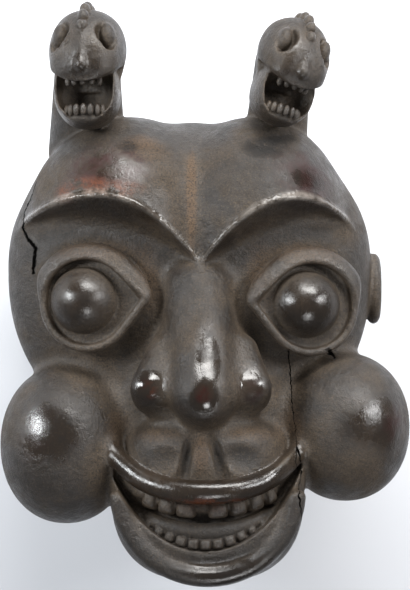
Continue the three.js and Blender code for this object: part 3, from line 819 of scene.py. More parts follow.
quads = []
inside = values < 0
for axis in range(3):
    one, two = (axis + 1) % 3, (axis + 2) % 3
    first = inside[tuple(slice(0, -1) if k == axis else slice(1, -1) for k in range(3))]
    last = inside[tuple(slice(1, None) if k == axis else slice(1, -1) for k in range(3))]
    edges = np.argwhere(first != last)
    enters = last[tuple(edges.T)]
    edges += np.array([0 if k == axis else 1 for k in range(3)])
    around = []
    for step_one, step_two in ((0, 0), (-1, 0), (-1, -1), (0, -1)):
        cell = edges.copy()
        cell[:, one] += step_one
        cell[:, two] += step_two
        around.append(vertex_of[tuple(cell.T)])
    quad = np.stack(around, axis=1)
    quad[enters] = quad[enters][:, ::-1]
    quads.append(quad)
quads = np.concatenate(quads)
print("block mesh:", len(positions), "vertices and", len(quads), "faces")


# %% Make the block's object
def mesh_from(name, points, faces):
    """A mesh from arrays of points in millimetres and faces of equal size."""
    mesh = bpy.data.meshes.new(name)
    mesh.vertices.add(len(points))
    placed_points = (np.asarray(points, float) + TO_ORIGIN) * MM
    mesh.vertices.foreach_set("co", placed_points.astype(np.float32).ravel())
    size = faces.shape[1]
    mesh.loops.add(faces.size)
    mesh.loops.foreach_set("vertex_index", faces.astype(np.int32).ravel())
    mesh.polygons.add(len(faces))
    mesh.polygons.foreach_set("loop_start", np.arange(0, faces.size, size, dtype=np.int32))
    mesh.update(calc_edges=True)
    mesh.validate()
    return mesh


mask = add_object("carved_mask", mesh_from("carved_mask", positions, quads))
del values, kinds, inside, vertex_of
print("the block measures", [round(v, 3) for v in mask.dimensions])

# %% [markdown]
# ## One function for nodes
#
# Geometry and materials are both trees of nodes here. This one function adds any node: what
# is a property of the node is set there, what isn't is set as the value of an input, and the
# links say which sockets feed which inputs.


# %% Add a node
def add_node(tree, kind, settings=None, links=None):
    node = tree.nodes.new(kind)
    for name, value in (settings or {}).items():
        if isinstance(name, str) and hasattr(node, name):
            setattr(node, name, value)
        else:
            node.inputs[name].default_value = value
    for name, socket in (links or {}).items():
        tree.links.new(socket, node.inputs[name])
    return node


def new_tree(name, inputs):
    """Starts a Geometry Nodes tree with named inputs. Each input is (name, kind, value)."""
    tree = bpy.data.node_groups.new(name, "GeometryNodeTree")
    tree.interface.new_socket("Geometry", in_out="OUTPUT", socket_type="NodeSocketGeometry")
    tree.interface.new_socket("Geometry", in_out="INPUT", socket_type="NodeSocketGeometry")
    for title, kind, value in inputs:
        socket = tree.interface.new_socket(title, in_out="INPUT", socket_type=kind)
        if value is not None:
            socket.default_value = value
    return tree, tree.nodes.new("NodeGroupInput").outputs


def end_tree(tree, instances, material):
    """Ends a tree as the export needs it: real geometry, with its material."""
    real = add_node(tree, "GeometryNodeRealizeInstances", links={"Geometry": instances})
    finish = add_node(
        tree, "GeometryNodeSetMaterial", links={"Geometry": real.outputs[0], "Material": material}
    )
    add_node(tree, "NodeGroupOutput", links={0: finish.outputs[0]})
    print(tree.name, "has", len(tree.nodes), "nodes")


def made_by(tree, name, base, **settings):
    """Runs a tree on a base mesh and gives the plain mesh that it makes."""
    thing = add_object(name, base)
    modifier = thing.modifiers.new("rows", "NODES")
    modifier.node_group = tree
    for item in tree.interface.items_tree:
        if item.in_out == "INPUT" and item.name in settings:
            modifier[item.identifier] = settings[item.name]
    bpy.context.view_layer.update()
    evaluated = thing.evaluated_get(bpy.context.evaluated_depsgraph_get())
    result = bpy.data.meshes.new_from_object(evaluated)
    bpy.data.objects.remove(thing)
    return result


wood = bpy.data.materials.new("smoked_hardwood_patina")
FLOAT, WHOLE = "NodeSocketFloat", "NodeSocketInt"
print("one material so far:", wood.name)

# %% [markdown]
# ## Teeth
#
# Two rows of flat teeth are cut in the open mouth. Their widths differ, but all follow the
# mouth's bend, so one tree makes both rows: each starts as a row of points that carry their
# own width, and each point gets a rounded block that leans with the bend. A little chance
# turns them, from a fixed seed, as a knife leaves them.

# %% The tree for a row of mouth teeth
# A Random Value node has sockets for each kind of value. These are the ones of a number.
RANDOM_MAX, RANDOM_OUT = 3, 1
TOOTH_DEPTH = 16
FIRST_SEED = 3
teeth_tree, given = new_tree("mouth_teeth", [
    ("Length", FLOAT, 15.0),
    ("Depth", FLOAT, float(TOOTH_DEPTH)),
    ("Rise", FLOAT, UPPER_TEETH_RISE),
    ("Fall Back", FLOAT, MOUTH_FALL_BACK),
    ("Unevenness", FLOAT, 0.05),
    ("Seed", WHOLE, FIRST_SEED),
    ("Material", "NodeSocketMaterial", None),
])
middle = add_node(teeth_tree, "GeometryNodeInputPosition")
across = add_node(teeth_tree, "ShaderNodeSeparateXYZ", links={0: middle.outputs[0]}).outputs["X"]
# The slope of a bend that rises by k times x squared is two k times x.
bends = []
for name in ("Rise", "Fall Back"):
    slope = add_node(
        teeth_tree, "ShaderNodeMath", {"operation": "MULTIPLY"}, {0: across, 1: given[name]}
    )
    double = add_node(
        teeth_tree, "ShaderNodeMath", {"operation": "MULTIPLY", 1: 2.0}, {0: slope.outputs[0]}
    )
    angle = add_node(
        teeth_tree, "ShaderNodeMath", {"operation": "ARCTANGENT"}, {0: double.outputs[0]}
    )
    bends.append(angle.outputs[0])
chance = add_node(
    teeth_tree,
    "FunctionNodeRandomValue",
    {"data_type": "FLOAT"},
    {"Seed": given["Seed"], RANDOM_MAX: given["Unevenness"]},
)
half_chance = add_node(
    teeth_tree, "ShaderNodeMath", {"operation": "MULTIPLY", 1: -0.5}, {0: given["Unevenness"]}
)
lean = bends[0]
for more in (chance.outputs[RANDOM_OUT], half_chance.outputs[0]):
    lean = add_node(
        teeth_tree, "ShaderNodeMath", {"operation": "ADD"}, {0: lean, 1: more}
    ).outputs[0]
turn = add_node(teeth_tree, "ShaderNodeCombineXYZ", links={"Y": bends[1], "Z": lean})
width = add_node(
    teeth_tree, "GeometryNodeInputNamedAttribute", {"data_type": "FLOAT", "Name": "width"}
)
size = add_node(
    teeth_tree,
    "ShaderNodeCombineXYZ",
    links={"X": width.outputs["Attribute"], "Y": given["Length"], "Z": given["Depth"]},
)
tooth = add_node(
    teeth_tree, "GeometryNodeMeshCube", {"Size": (1, 1, 1), "Vertices X": 3, "Vertices Y": 3}
)
rounded = add_node(
    teeth_tree,
    "GeometryNodeSubdivisionSurface",
    {"Level": 2, "Edge Crease": 0.15},
    {"Mesh": tooth.outputs["Mesh"]},
)
set_out = add_node(
    teeth_tree,
    "GeometryNodeInstanceOnPoints",
    links={
        "Points": given["Geometry"],
        "Instance": rounded.outputs["Mesh"],
        "Rotation": turn.outputs[0],
        "Scale": size.outputs[0],
    },
)
end_tree(teeth_tree, set_out.outputs[0], given["Material"])

# %% Both rows of mouth teeth
# The upper row has a gap in the middle, so it is listed as two rows.
TEETH_Z = 244
TOOTH_GAP = 0.4
# Rounding takes a little off each tooth's width, so the block starts wider.
BEFORE_ROUNDING = 1.1
UPPER_TEETH = {"y": -155.5, "rise": UPPER_TEETH_RISE, "length": 15}
LOWER_TEETH = {"y": -181, "rise": LOWER_TEETH_RISE, "length": 8.5}
TOOTH_ROWS = [
    {"widths": (11, 12, 14), "first": -44, **UPPER_TEETH},
    {"widths": (14, 13, 11, 9), "first": 2, **UPPER_TEETH},
    {"widths": (7, 7, 7, 7, 8, 8, 8, 8, 8, 7, 7, 7), "first": -50, **LOWER_TEETH},
]


def row_points(row):
    """A mesh of single points at the teeth's middles, with each tooth's width."""
    starts = row["first"] + np.cumsum([0] + [width + TOOTH_GAP for width in row["widths"][:-1]])
    middles = starts + np.array(row["widths"]) / 2
    places = [
        (x, row["y"] + row["rise"] * x * x, TEETH_Z - MOUTH_FALL_BACK * x * x) for x in middles
    ]
    points = bpy.data.meshes.new("row")
    points.from_pydata(places, [], [])
    widths = points.attributes.new("width", "FLOAT", "POINT")
    widths.data.foreach_set("value", np.array(row["widths"], np.float32) * BEFORE_ROUNDING)
    return points


details = []
for number, row in enumerate(TOOTH_ROWS):
    teeth = made_by(
        teeth_tree,
        f"teeth_{number}",
        row_points(row),
        **{
            "Length": float(row["length"]),
            "Depth": float(TOOTH_DEPTH),
            "Rise": row["rise"],
            "Fall Back": MOUTH_FALL_BACK,
            "Seed": FIRST_SEED + number,
            "Material": wood,
        },
    )
    details.append(teeth)
    print(len(row["widths"]), "teeth with", len(teeth.polygons), "faces")

# %% [markdown]
# ## Knobs and teeth of the lizards
#
# A row of round knobs runs over each lizard's head as a crest, and short blunt teeth line its
# jaws. Both are one small shape repeated along an arc, so a second tree makes them: a line
# of points, each lifted to its place on the arc by its number.

# %% The tree for an arc of knobs
arc_tree, given = new_tree("knobs_on_arc", [
    ("Count", WHOLE, 6),
    ("From", FLOAT, -0.5),
    ("To", FLOAT, 1.3),
    ("Reach Side", FLOAT, 0.0),
    ("Reach Up", FLOAT, 26.0),
    ("Reach Front", FLOAT, 31.0),
    ("Size", "NodeSocketVector", (4.0, 5.0, 5.0)),
    ("Material", "NodeSocketMaterial", None),
])
line = add_node(arc_tree, "GeometryNodeMeshLine", links={"Count": given["Count"]})
index = add_node(arc_tree, "GeometryNodeInputIndex")
last = add_node(arc_tree, "ShaderNodeMath", {"operation": "SUBTRACT", 1: 1.0}, {0: given["Count"]})
share = add_node(
    arc_tree, "ShaderNodeMath", {"operation": "DIVIDE"}, {0: index.outputs[0], 1: last.outputs[0]}
)
angle = add_node(
    arc_tree,
    "ShaderNodeMapRange",
    links={"Value": share.outputs[0], "To Min": given["From"], "To Max": given["To"]},
)
sine, cosine = (
    add_node(arc_tree, "ShaderNodeMath", {"operation": wave}, {0: angle.outputs[0]}).outputs[0]
    for wave in ("SINE", "COSINE")
)
reach_side, reach_up = (
    add_node(
        arc_tree, "ShaderNodeMath", {"operation": "MULTIPLY"}, {0: wave, 1: given[name]}
    ).outputs[0]
    for name, wave in (("Reach Side", sine), ("Reach Up", cosine))
)
# A crest goes up and to the front, so it has no reach to the side. A row of teeth goes from
# side to side around the front.
is_crest = add_node(
    arc_tree, "ShaderNodeMath", {"operation": "LESS_THAN", 1: 0.01}, {0: given["Reach Side"]}
).outputs[0]
wave_front = add_node(
    arc_tree,
    "ShaderNodeMix",
    {"data_type": "FLOAT"},
    {"Factor": is_crest, "A": cosine, "B": sine},
).outputs["Result"]
front = add_node(
    arc_tree, "ShaderNodeMath", {"operation": "MULTIPLY"}, {0: wave_front, 1: given["Reach Front"]}
).outputs[0]
on_arc = add_node(
    arc_tree, "ShaderNodeCombineXYZ", links={"X": reach_side, "Y": reach_up, "Z": front}
)
moved = add_node(
    arc_tree,
    "GeometryNodeSetPosition",
    links={"Geometry": line.outputs[0], "Position": on_arc.outputs[0]},
)
knob = add_node(arc_tree, "GeometryNodeMeshIcoSphere", {"Radius": 1.0, "Subdivisions": 3})
set_out = add_node(
    arc_tree,
    "GeometryNodeInstanceOnPoints",
    links={"Points": moved.outputs[0], "Instance": knob.outputs["Mesh"], "Scale": given["Size"]},
)
end_tree(arc_tree, set_out.outputs[0], given["Material"])

# %% Crests and jaws of both lizards
# Each arc: its middle in the lizard's head, its first and last angle in degrees, and its sizes.
ARC_SIZES = ("Count", "Reach Side", "Reach Up", "Reach Front", "Size")
CREST = (6, 0.0, 26.0, 31.0, (4.2, 5.4, 5.4))
LOWER_JAW = (7, 14.5, 0.0, 12.0, (2.4, 4.5, 2.6))
UPPER_JAW = (5, 15.0, 0.0, 13.0, (2.4, 4.0, 2.6))
ARCS = [
    ((0, 4, -2), (-30, 74), CREST),
    ((0, -49, 9), (-64, 64), LOWER_JAW),
    ((0, -28, 11), (-50, 50), UPPER_JAW),
]
for side, one in enumerate(LIZARDS):
    in_head = turned(one["at"], one["turn"]) @ Matrix.Scale(one["size"], 4)
    for number, (at, angles, sizes) in enumerate(ARCS):
        first, last = (math.radians(angle) for angle in angles)
        row = made_by(
            arc_tree,
            f"arc_{side}_{number}",
            bpy.data.meshes.new("start"),
            **{"From": first, "To": last, "Material": wood, **dict(zip(ARC_SIZES, sizes))},
        )
        row.transform(in_head @ Matrix.Translation(at))
        details.append(row)
print("meshes of details:", len(details))

# %% [markdown]
# ## One piece of wood
#
# Teeth and knobs were never fixed on: they are the same wood. So they are joined to the block
# with a Boolean, which needs closed meshes and leaves one closed mesh. Then Decimate takes
# faces away where the surface is plain, and the carved edges keep theirs.

# %% Join the details to the block
FACES_OF_MASK = 190_000


def joined(name, meshes):
    """One mesh of several, turned from millimetres to the mask's place."""
    points, faces = [], []
    start = 0
    for mesh in meshes:
        points += [tuple((Vector(v.co) + Vector(TO_ORIGIN)) * MM) for v in mesh.vertices]
        faces += [[start + corner for corner in face.vertices] for face in mesh.polygons]
        start += len(mesh.vertices)
    result = bpy.data.meshes.new(name)
    result.from_pydata(points, [], faces)
    return result


def applied(thing):
    """Makes an object's modifiers part of its mesh."""
    evaluated = thing.evaluated_get(bpy.context.evaluated_depsgraph_get())
    mesh = bpy.data.meshes.new_from_object(evaluated)
    thing.modifiers.clear()
    thing.data = mesh
    return mesh


extra = add_object("teeth_and_knobs", joined("teeth_and_knobs", details))
union = mask.modifiers.new("one_wood", "BOOLEAN")
union.operation = "UNION"
union.solver = "MANIFOLD"
union.object = extra
applied(mask)
bpy.data.objects.remove(extra)
triangles = sum(len(face.vertices) - 2 for face in mask.data.polygons)
fewer = mask.modifiers.new("fewer_faces", "DECIMATE")
fewer.ratio = FACES_OF_MASK / triangles
applied(mask)
print("faces before and after:", triangles, len(mask.data.polygons))

# %% [markdown]
# ## What years of use leave
#
# Hands and cloth polish what stands out, and dust and smoke stay where no hand gets. Both
# follow from the form: a place is hollow if the wood comes near again a little way outside
# it, and it stands out if the air is near a little way inside. The forms give these distances
# at any point, so each vertex of the mesh gets its own shares, which the finish reads.

# %% Hollows and high places
# How far outside or inside the surface the forms are asked, in millimetres, and how much each
# answer counts.
HOLLOW_STEPS = ((4, 0.55), (10, 0.8), (18, 0.6))
HIGH_STEPS = ((3, 1.4), (7, 1.0))
# A share from which a vertex counts as covered, in the measure that is printed.
COVERED = 0.3
# A patch is full up to this part of its reach.
PATCH_CORE = 0.35


def vertex_arrays(mesh):
    """The vertices in the carving's millimetres, and their normals."""
    points = np.empty(len(mesh.vertices) * 3, np.float32)
    mesh.vertices.foreach_get("co", points)
    normals = np.empty(len(mesh.vertices) * 3, np.float32)
    mesh.vertex_normals.foreach_get("vector", normals)
    return points.reshape(-1, 3) / MM - TO_ORIGIN, normals.reshape(-1, 3)


def keep_share(mesh, name, share):
    """Gives each vertex its share from 0 to 1, under a name that the finish reads."""
    attribute = mesh.attributes.new(name, "FLOAT", "POINT")
    attribute.data.foreach_set("value", np.clip(share, 0, 1).astype(np.float32))
    print(name, "covers", round(float(np.mean(share > COVERED)) * 100), "% of the mask")


def spot(points, at, reach):
    """A soft round patch."""
    away = np.linalg.norm((points - np.array(at)) / np.array(reach), axis=1)
    return smooth_step(away, 1.0, PATCH_CORE)


surface, outward = vertex_arrays(mask.data)
surface = surface.astype(np.float32)
hollow_share = sum(
    weight * (1 - measured(block, surface + outward * step) / step) for step, weight in HOLLOW_STEPS
)
high_share = sum(
    weight * (1 + measured(block, surface - outward * step) / step) for step, weight in HIGH_STEPS
)
keep_share(mask.data, "hollow", hollow_share)
keep_share(mask.data, "high", high_share)

# %% [markdown]
# ## Patches of wear and painted shade
#
# The forehead above each brow is rubbed through to the red-brown wood, and so are the tip of
# the nose, the wings and the lip. Tan dust lies in the forehead's groove, around the eyes and
# over the upper lip. These places are part of this mask's history and follow no rule, so
# they are listed as soft round patches: middle, reach and strength. Dark patches are listed
# the same way: in the open mouths, in the grooves and dishes under the nose and around the
# eyes they are painted shade, and elsewhere they make the colour darker. The brow edges and
# the lip are polished along their whole length, so those places come from the forms; the brow
# edges are also painted lighter there, as a painted highlight.

# %% Red wear, dust, polish, decay and painted shade
ORANGE_PATCHES = [
    ((-88, 80, 236), (32, 9, 30), 1.1),
    ((-62, 77, 238), (24, 8, 30), 1.0),
    ((-104, 74, 236), (14, 9, 30), 0.9),
    ((-39, -70, 258), (6, 14, 14), 0.3),
    ((4, -151, 264), (54, 7, 20), 1.0),
    ((104, 66, 232), (14, 20, 30), 0.5),
]
MAROON_PATCHES = [
    ((-72, 92, 236), (44, 22, 30), 1.0),
    ((88, 92, 228), (54, 34, 40), 0.9),
    ((-1, -71, 273), (8, 9, 16), 1.0),
    ((-42, -70, 258), (12, 18, 14), 0.6),
    ((35, -72, 256), (12, 18, 14), 0.6),
    ((-126, -112, 230), (18, 18, 20), 0.25),
    ((138, -96, 220), (18, 20, 24), 0.6),
    ((0, -152, 262), (60, 10, 24), 0.8),
    ((-84, 100, 232), (50, 26, 30), 0.6),
]
TAN_PATCHES = [
    ((-10, 86, 232), (5.5, 74, 30), 1.2),
    ((-48, 108, 225), (30, 14, 24), 0.5),
    ((-83, 33, 220), (54, 12, 30), 0.45),
    ((-43, 12, 215), (14, 34, 24), 0.5),
    ((41, 12, 215), (14, 34, 24), 0.5),
    ((80, 32, 220), (54, 12, 30), 0.45),
    ((-3, -114, 250), (9, 20, 20), 0.8),
    ((-38, -102, 240), (34, 7, 24), 0.4),
    ((36, -101, 240), (34, 7, 24), 0.4),
    ((-62, -96, 225), (14, 18, 24), 0.7),
    ((62, -96, 225), (14, 18, 24), 0.7),
    ((-48, 115, 225), (18, 9, 24), 0.7),
    ((52, -50, 225), (14, 20, 24), 0.6),
]
POLISHED_PATCHES = [
    ((3, -48, 262), (15, 46, 26), 1.2),
    ((-1, -76, 272), (15, 16, 18), 1.0),
    ((-40, -66, 254), (15, 24, 18), 1.2),
    ((34, -65, 254), (15, 24, 18), 1.2),
    ((-89, -4, 236), (30, 28, 24), 0.85),
    ((75, -7, 236), (30, 28, 24), 0.85),
    ((-116, -100, 236), (36, 34, 26), 0.8),
    ((124, -94, 230), (40, 36, 30), 0.8),
    ((-72, 92, 236), (46, 24, 30), 0.75),
    ((90, 88, 232), (44, 26, 30), 0.9),
    ((-36, 62, 240), (16, 22, 24), 0.6),
    ((114, 96, 212), (26, 46, 40), 0.8),
    ((30, -200, 246), (70, 20, 28), 0.8),
    ((-87, 170, 244), (22, 30, 16), 0.5),
    ((66, 168, 244), (22, 30, 16), 0.5),
]
# Dark patches: painted shade in the mouths, the grooves and dishes and around the eyes; elsewhere
# darker colour.
SOOT_AND_SHADE_PATCHES = [
    ((-37, -119, 248), (20, 12, 20), 0.8),
    ((33, -118, 248), (22, 12, 20), 0.8),
    ((-14, -118, 248), (6, 22, 20), 1.0),
    ((10, -118, 248), (6, 22, 20), 1.0),
    ((-60, -92, 232), (22, 12, 24), 0.4),
    ((54, -90, 232), (22, 12, 24), 0.4),
    ((70, 96, 232), (76, 48, 40), 0.9),
    ((-70, 112, 232), (50, 26, 40), 0.35),
    ((-86, -6, 220), (56, 50, 40), 0.35),
    ((78, -9, 220), (56, 50, 40), 0.35),
    ((0, -176, 240), (76, 24, 60), 0.75),
    ((0, -196, 240), (96, 36, 60), 0.9),
    ((-100, 120, 150), (30, 60, 60), 0.4),
    ((-87, 178, 236), (50, 50, 60), 0.15),
    ((66, 176, 236), (50, 50, 60), 0.15),
    ((156, 6, 110), (34, 60, 80), 0.9),
    ((-87, 146, 240), (26, 26, 40), 1.0),
    ((68, 145, 240), (26, 26, 40), 1.0),
]
ERODED_PATCHES = [
    ((45, 110, 225), (24, 11, 30), 1.0),
    ((-58, 110, 225), (12, 6, 24), 0.8),
    ((-60, 122, 220), (20, 12, 24), 0.35),
    ((60, 120, 215), (22, 9, 24), 0.7),
]


def patches(listed):
    """The strengths of all listed patches at each vertex."""
    total = np.zeros(len(surface))
    for at, reach, strength in listed:
        total += strength * spot(surface, at, reach)
    return total


# Each pair of reaches: the distance in millimetres where the polish ends, and where it is full.
RIM_FROM_LOBES = (3.5, 1.0)
RIM_MIDDLE = 2.0
RIM_FROM_MIDDLE = (4.2, 1.4)
# How much painted highlight the brow rim gets everywhere, and how much more at the brows' tops.
RIM_PAINTED_HIGHLIGHT = {"everywhere": 0.35, "at_tops": 0.65}
RIM_HIGHLIGHT_TOPS = [((-88, 72, 236), (40, 30, 60)), ((58, 68, 236), (38, 30, 60))]
LIP_REACH = (2.5, 0.5)
LIP_ABOVE_Y = -158
LIP_FADE = (0, 8)
RIM_POLISH = 0.9
LIP_POLISH = 0.8

above_brow = surface[:, 1] - brow_line(surface[:, 0])
on_lobes = smooth_step(np.abs(lobes(surface)), *RIM_FROM_LOBES)
brow_rim = on_lobes * smooth_step(np.abs(above_brow - RIM_MIDDLE), *RIM_FROM_MIDDLE)
rim_painted_highlight = RIM_PAINTED_HIGHLIGHT["everywhere"]
for at, reach in RIM_HIGHLIGHT_TOPS:
    rim_painted_highlight = rim_painted_highlight + RIM_PAINTED_HIGHLIGHT["at_tops"] * spot(surface, at, reach)
above_teeth = smooth_step(surface[:, 1] - LIP_ABOVE_Y, *LIP_FADE)
on_lip = smooth_step(upper_lip(surface), *LIP_REACH) * above_teeth
polish = patches(POLISHED_PATCHES) + RIM_POLISH * brow_rim + LIP_POLISH * on_lip
keep_share(mask.data, "worn_orange", patches(ORANGE_PATCHES))
keep_share(mask.data, "worn_maroon", patches(MAROON_PATCHES))
keep_share(mask.data, "tan_dust", patches(TAN_PATCHES))
keep_share(mask.data, "polish", polish)
# The brow rim's light colour: worn wood with a painted highlight.
keep_share(mask.data, "worn_rim_and_highlight", brow_rim * rim_painted_highlight)
# Painted shade in the mouths and hollows, and darker colour elsewhere.
keep_share(mask.data, "soot_and_painted_shade", patches(SOOT_AND_SHADE_PATCHES))
keep_share(mask.data, "eroded", patches(ERODED_PATCHES))
for polygon in mask.data.polygons:
    polygon.use_smooth = True

# %% [markdown]
# ## The finish of the wood
#
# The wood is a dense hardwood, darkened by smoke and years of palm oil. It isn't varnished:
# its gloss comes from handling, so it is uneven. The finish is built up in the same order as
# on the real mask: dark patina with a slight grain, dust in the hollows, red wood where the
# patina is rubbed off, decay and cracks, and then the gloss and the small unevenness left by
# the knife. Painted shade darkens the mouths and the hollows around the eyes and under the
# nose, and a painted highlight lightens the brow edges and other edges that stand out.
#
# All patterns read the object's own coordinates, in millimetres.

# %% Colours
def linear(hex_colour):
    """sRGB hex to the linear colour that Blender uses."""
    channels = [int(hex_colour[i:i + 2], 16) / 255 for i in (1, 3, 5)]
    values = [c / 12.92 if c <= 0.04045 else ((c + 0.055) / 1.055) ** 2.4 for c in channels]
    return (*values, 1.0)


# The rubbed grey is where hands have worn the patina grey, and on convex edges it is also a
# painted highlight; the bare colour is the bright wood of the brow edges, painted lighter as
# their highlight.
# The darkest colour: soot in the patina, and painted shade in the mouths and hollows.
SOOT_AND_SHADE = linear("#15110e")
PATINA = linear("#211b16")
OILY = linear("#29211a")
DUST = linear("#574835")
TAN = linear("#5c4733")
MAROON = linear("#2a0f0a")
ORANGE = linear("#5a2d12")
RUBBED_AND_HIGHLIGHT = linear("#5f564d")
BARE_WOOD_AND_HIGHLIGHT = linear("#a39c94")
CRACK = linear("#060504")
print("patina in linear values:", [round(v, 3) for v in PATINA])

# %% Patterns of the wood
wood.use_nodes = True
tree = wood.node_tree
tree.nodes.clear()
own = add_node(tree, "ShaderNodeTexCoord")
in_mm = add_node(
    tree, "ShaderNodeVectorMath", {"operation": "SCALE", "Scale": 1 / MM}, {0: own.outputs["Object"]}
)
# The grain runs along the mask's height, and its streaks are twenty times as long as wide.
GRAIN_SQUEEZE = (1.0, 0.05, 1.0)
along_grain = add_node(
    tree, "ShaderNodeVectorMath", {"operation": "MULTIPLY", 1: GRAIN_SQUEEZE}, {0: in_mm.outputs[0]}
)
# Each pattern: the size of its patches in millimetres, its detail and roughness, its source.
PATTERNS = {
    "clouds": (55, 4, 0.6, in_mm),
    "mottling": (11, 6, 0.65, in_mm),
    "knife": (4.5, 3, 0.5, in_mm),
    "grit": (1.3, 4, 0.7, in_mm),
    "grain": (1.8, 3, 0.55, along_grain),
}
pattern = {
    name: add_node(
        tree,
        "ShaderNodeTexNoise",
        {"Scale": 1 / size, "Detail": detail, "Roughness": roughness},
        {"Vector": source.outputs[0]},
    ).outputs[0]
    for name, (size, detail, roughness, source) in PATTERNS.items()
}
place = {
    name: add_node(tree, "ShaderNodeAttribute", {"attribute_name": name}).outputs["Fac"]
    for name in (
        "hollow", "high", "worn_orange", "worn_maroon", "tan_dust", "polish", "worn_rim_and_highlight",
        "soot_and_painted_shade", "eroded",
    )
}
# Where each pattern is counted, and from which to which of its values.
BANDS = {
    "oily": ("clouds", 0.42, 0.62),
    "sooty": ("mottling", 0.50, 0.66),
    "streaks": ("grain", 0.52, 0.72),
    "pits": ("grit", 0.47, 0.33),
    "specks": ("grit", 0.56, 0.70),
    "grainy": ("grit", 0.28, 0.62),
    "dusty_clouds": ("clouds", 0.46, 0.66),
    "broken": ("mottling", 0.40, 0.56),
    "scuffs": ("mottling", 0.36, 0.64),
}
band = {
    name: add_node(
        tree,
        "ShaderNodeMapRange",
        {"From Min": start, "From Max": end},
        {"Value": pattern[source]},
    ).outputs[0]
    for name, (source, start, end) in BANDS.items()
}
print(len(PATTERNS), "patterns in", len(BANDS), "bands")

# %% [markdown]
# ## Cracks
#
# The wood has split at the temple, and from below one eye along the cheek to the jaw, with a
# nick beside the start of that split. The cracks on cheek and jaw are hardly wider than a face
# of the mesh, so the shader draws all of them: as runs of straight pieces in plan, shaken a
# little by a fine noise. It measures how far it is to the nearest piece, in half widths of its
# crack. On a steep side the plan is stretched, so the crack is narrowed there.

# %% Cracks
# Each crack: half its width in millimetres, and its points in plan.
CRACKS = [
    (0.6, [
        (62, -40), (63.5, -52), (64.5, -66), (65, -84), (67, -100), (67.5, -112), (66, -121),
        (69, -130),
    ]),
    (0.9, [(67.5, -112), (70, -120), (71, -131), (68, -146), (71, -166), (66, -178)]),
    (2.0, [
        (-128, 86), (-131, 76), (-137.5, 64), (-138.5, 51), (-136, 44.5), (-128, 35.5),
        (-129, 26), (-130, 17),
    ]),
    (3.0, [(92, -42), (95.5, -44.5), (97.5, -47)]),
]
# How far the noise shifts a crack in millimetres, and how fine it is, per millimetre.
SHAKE = 3.4
SHAKE_FINENESS = 0.28
# The least upward part of the normal that still narrows a crack.
STEEPEST = 0.1
# From where to where a crack fades in, in half widths, and from which height on there are any.
CRACK_EDGE = {"From Min": 1.0, "From Max": 0.5}
CRACK_FRONT = {"From Min": 150.0, "From Max": 165.0}
shake = add_node(
    tree, "ShaderNodeTexNoise", {"Scale": SHAKE_FINENESS, "Detail": 3.0}, {"Vector": in_mm.outputs[0]}
)
shaken = add_node(
    tree,
    "ShaderNodeVectorMath",
    {"operation": "MULTIPLY_ADD", 1: (SHAKE,) * 3},
    {0: shake.outputs["Color"], 2: in_mm.outputs[0]},
)
centred = add_node(
    tree,
    "ShaderNodeVectorMath",
    {"operation": "SUBTRACT", 1: (SHAKE / 2,) * 3},
    {0: shaken.outputs[0]},
)
flat = add_node(
    tree,
    "ShaderNodeVectorMath",
    {"operation": "MULTIPLY", 1: (1.0, 1.0, 0.0)},
    {0: centred.outputs[0]},
)
nearest_crack = None
for half_width, points in CRACKS:
    for start, end in zip(points[:-1], points[1:]):
        start = Vector((*start, 0)) + Vector((*TO_ORIGIN[:2], 0))
        along = Vector((*end, 0)) + Vector((*TO_ORIGIN[:2], 0)) - start
        from_start = add_node(
            tree, "ShaderNodeVectorMath", {"operation": "SUBTRACT", 1: start}, {0: flat.outputs[0]}
        )
        dot = add_node(
            tree,
            "ShaderNodeVectorMath",
            {"operation": "DOT_PRODUCT", 1: along / along.length_squared},
            {0: from_start.outputs[0]},
        )
        share = add_node(tree, "ShaderNodeClamp", links={"Value": dot.outputs["Value"]})
        nearest = add_node(
            tree,
            "ShaderNodeVectorMath",
            {"operation": "SCALE", 0: along},
            {"Scale": share.outputs[0]},
        )
        distance = add_node(
            tree,
            "ShaderNodeVectorMath",
            {"operation": "DISTANCE"},
            {0: from_start.outputs[0], 1: nearest.outputs[0]},
        )
        half_widths = add_node(
            tree,
            "ShaderNodeMath",
            {"operation": "MULTIPLY", 1: 1 / half_width},
            {0: distance.outputs["Value"]},
        ).outputs[0]
        if nearest_crack is not None:
            half_widths = add_node(
                tree, "ShaderNodeMath", {"operation": "MINIMUM"}, {0: nearest_crack, 1: half_widths}
            ).outputs[0]
        nearest_crack = half_widths
facing = add_node(tree, "ShaderNodeSeparateXYZ", links={0: own.outputs["Normal"]})
upward = add_node(
    tree, "ShaderNodeMath", {"operation": "MAXIMUM", 1: STEEPEST}, {0: facing.outputs["Z"]}
)
narrowed = add_node(
    tree, "ShaderNodeMath", {"operation": "DIVIDE"}, {0: nearest_crack, 1: upward.outputs[0]}
)
opening = add_node(tree, "ShaderNodeMapRange", CRACK_EDGE, {"Value": narrowed.outputs[0]})
height = add_node(tree, "ShaderNodeSeparateXYZ", links={0: in_mm.outputs[0]})
on_front = add_node(tree, "ShaderNodeMapRange", CRACK_FRONT, {"Value": height.outputs["Z"]})
in_crack = add_node(
    tree, "ShaderNodeMath", {"operation": "MULTIPLY"}, {0: opening.outputs[0], 1: on_front.outputs[0]}
).outputs[0]
print(sum(len(points) - 1 for _, points in CRACKS), "straight pieces of crack")

# %% [markdown]
# ## Colour and gloss
#
# The colours lie over each other as they came to be on the wood, and the cracks last; painted
# shade for the mouths and hollows and a painted highlight for the edges lie among them. Polish
# takes dust and specks away, and it makes the wood smoother in both senses: less rough, and
# with less of the knife's marks.

# %% Patina, dust and wear
# A Mix node has sockets for each kind of value. These are the ones of a colour.
COLOUR_A, COLOUR_B, COLOUR_OUT = 6, 7, 2
dusty = add_node(
    tree,
    "ShaderNodeMath",
    {"operation": "ADD", "use_clamp": True},
    {0: place["hollow"], 1: band["dusty_clouds"]},
).outputs[0]
dull = add_node(
    tree, "ShaderNodeMath", {"operation": "SUBTRACT", 0: 1.0}, {1: place["polish"]}
).outputs[0]
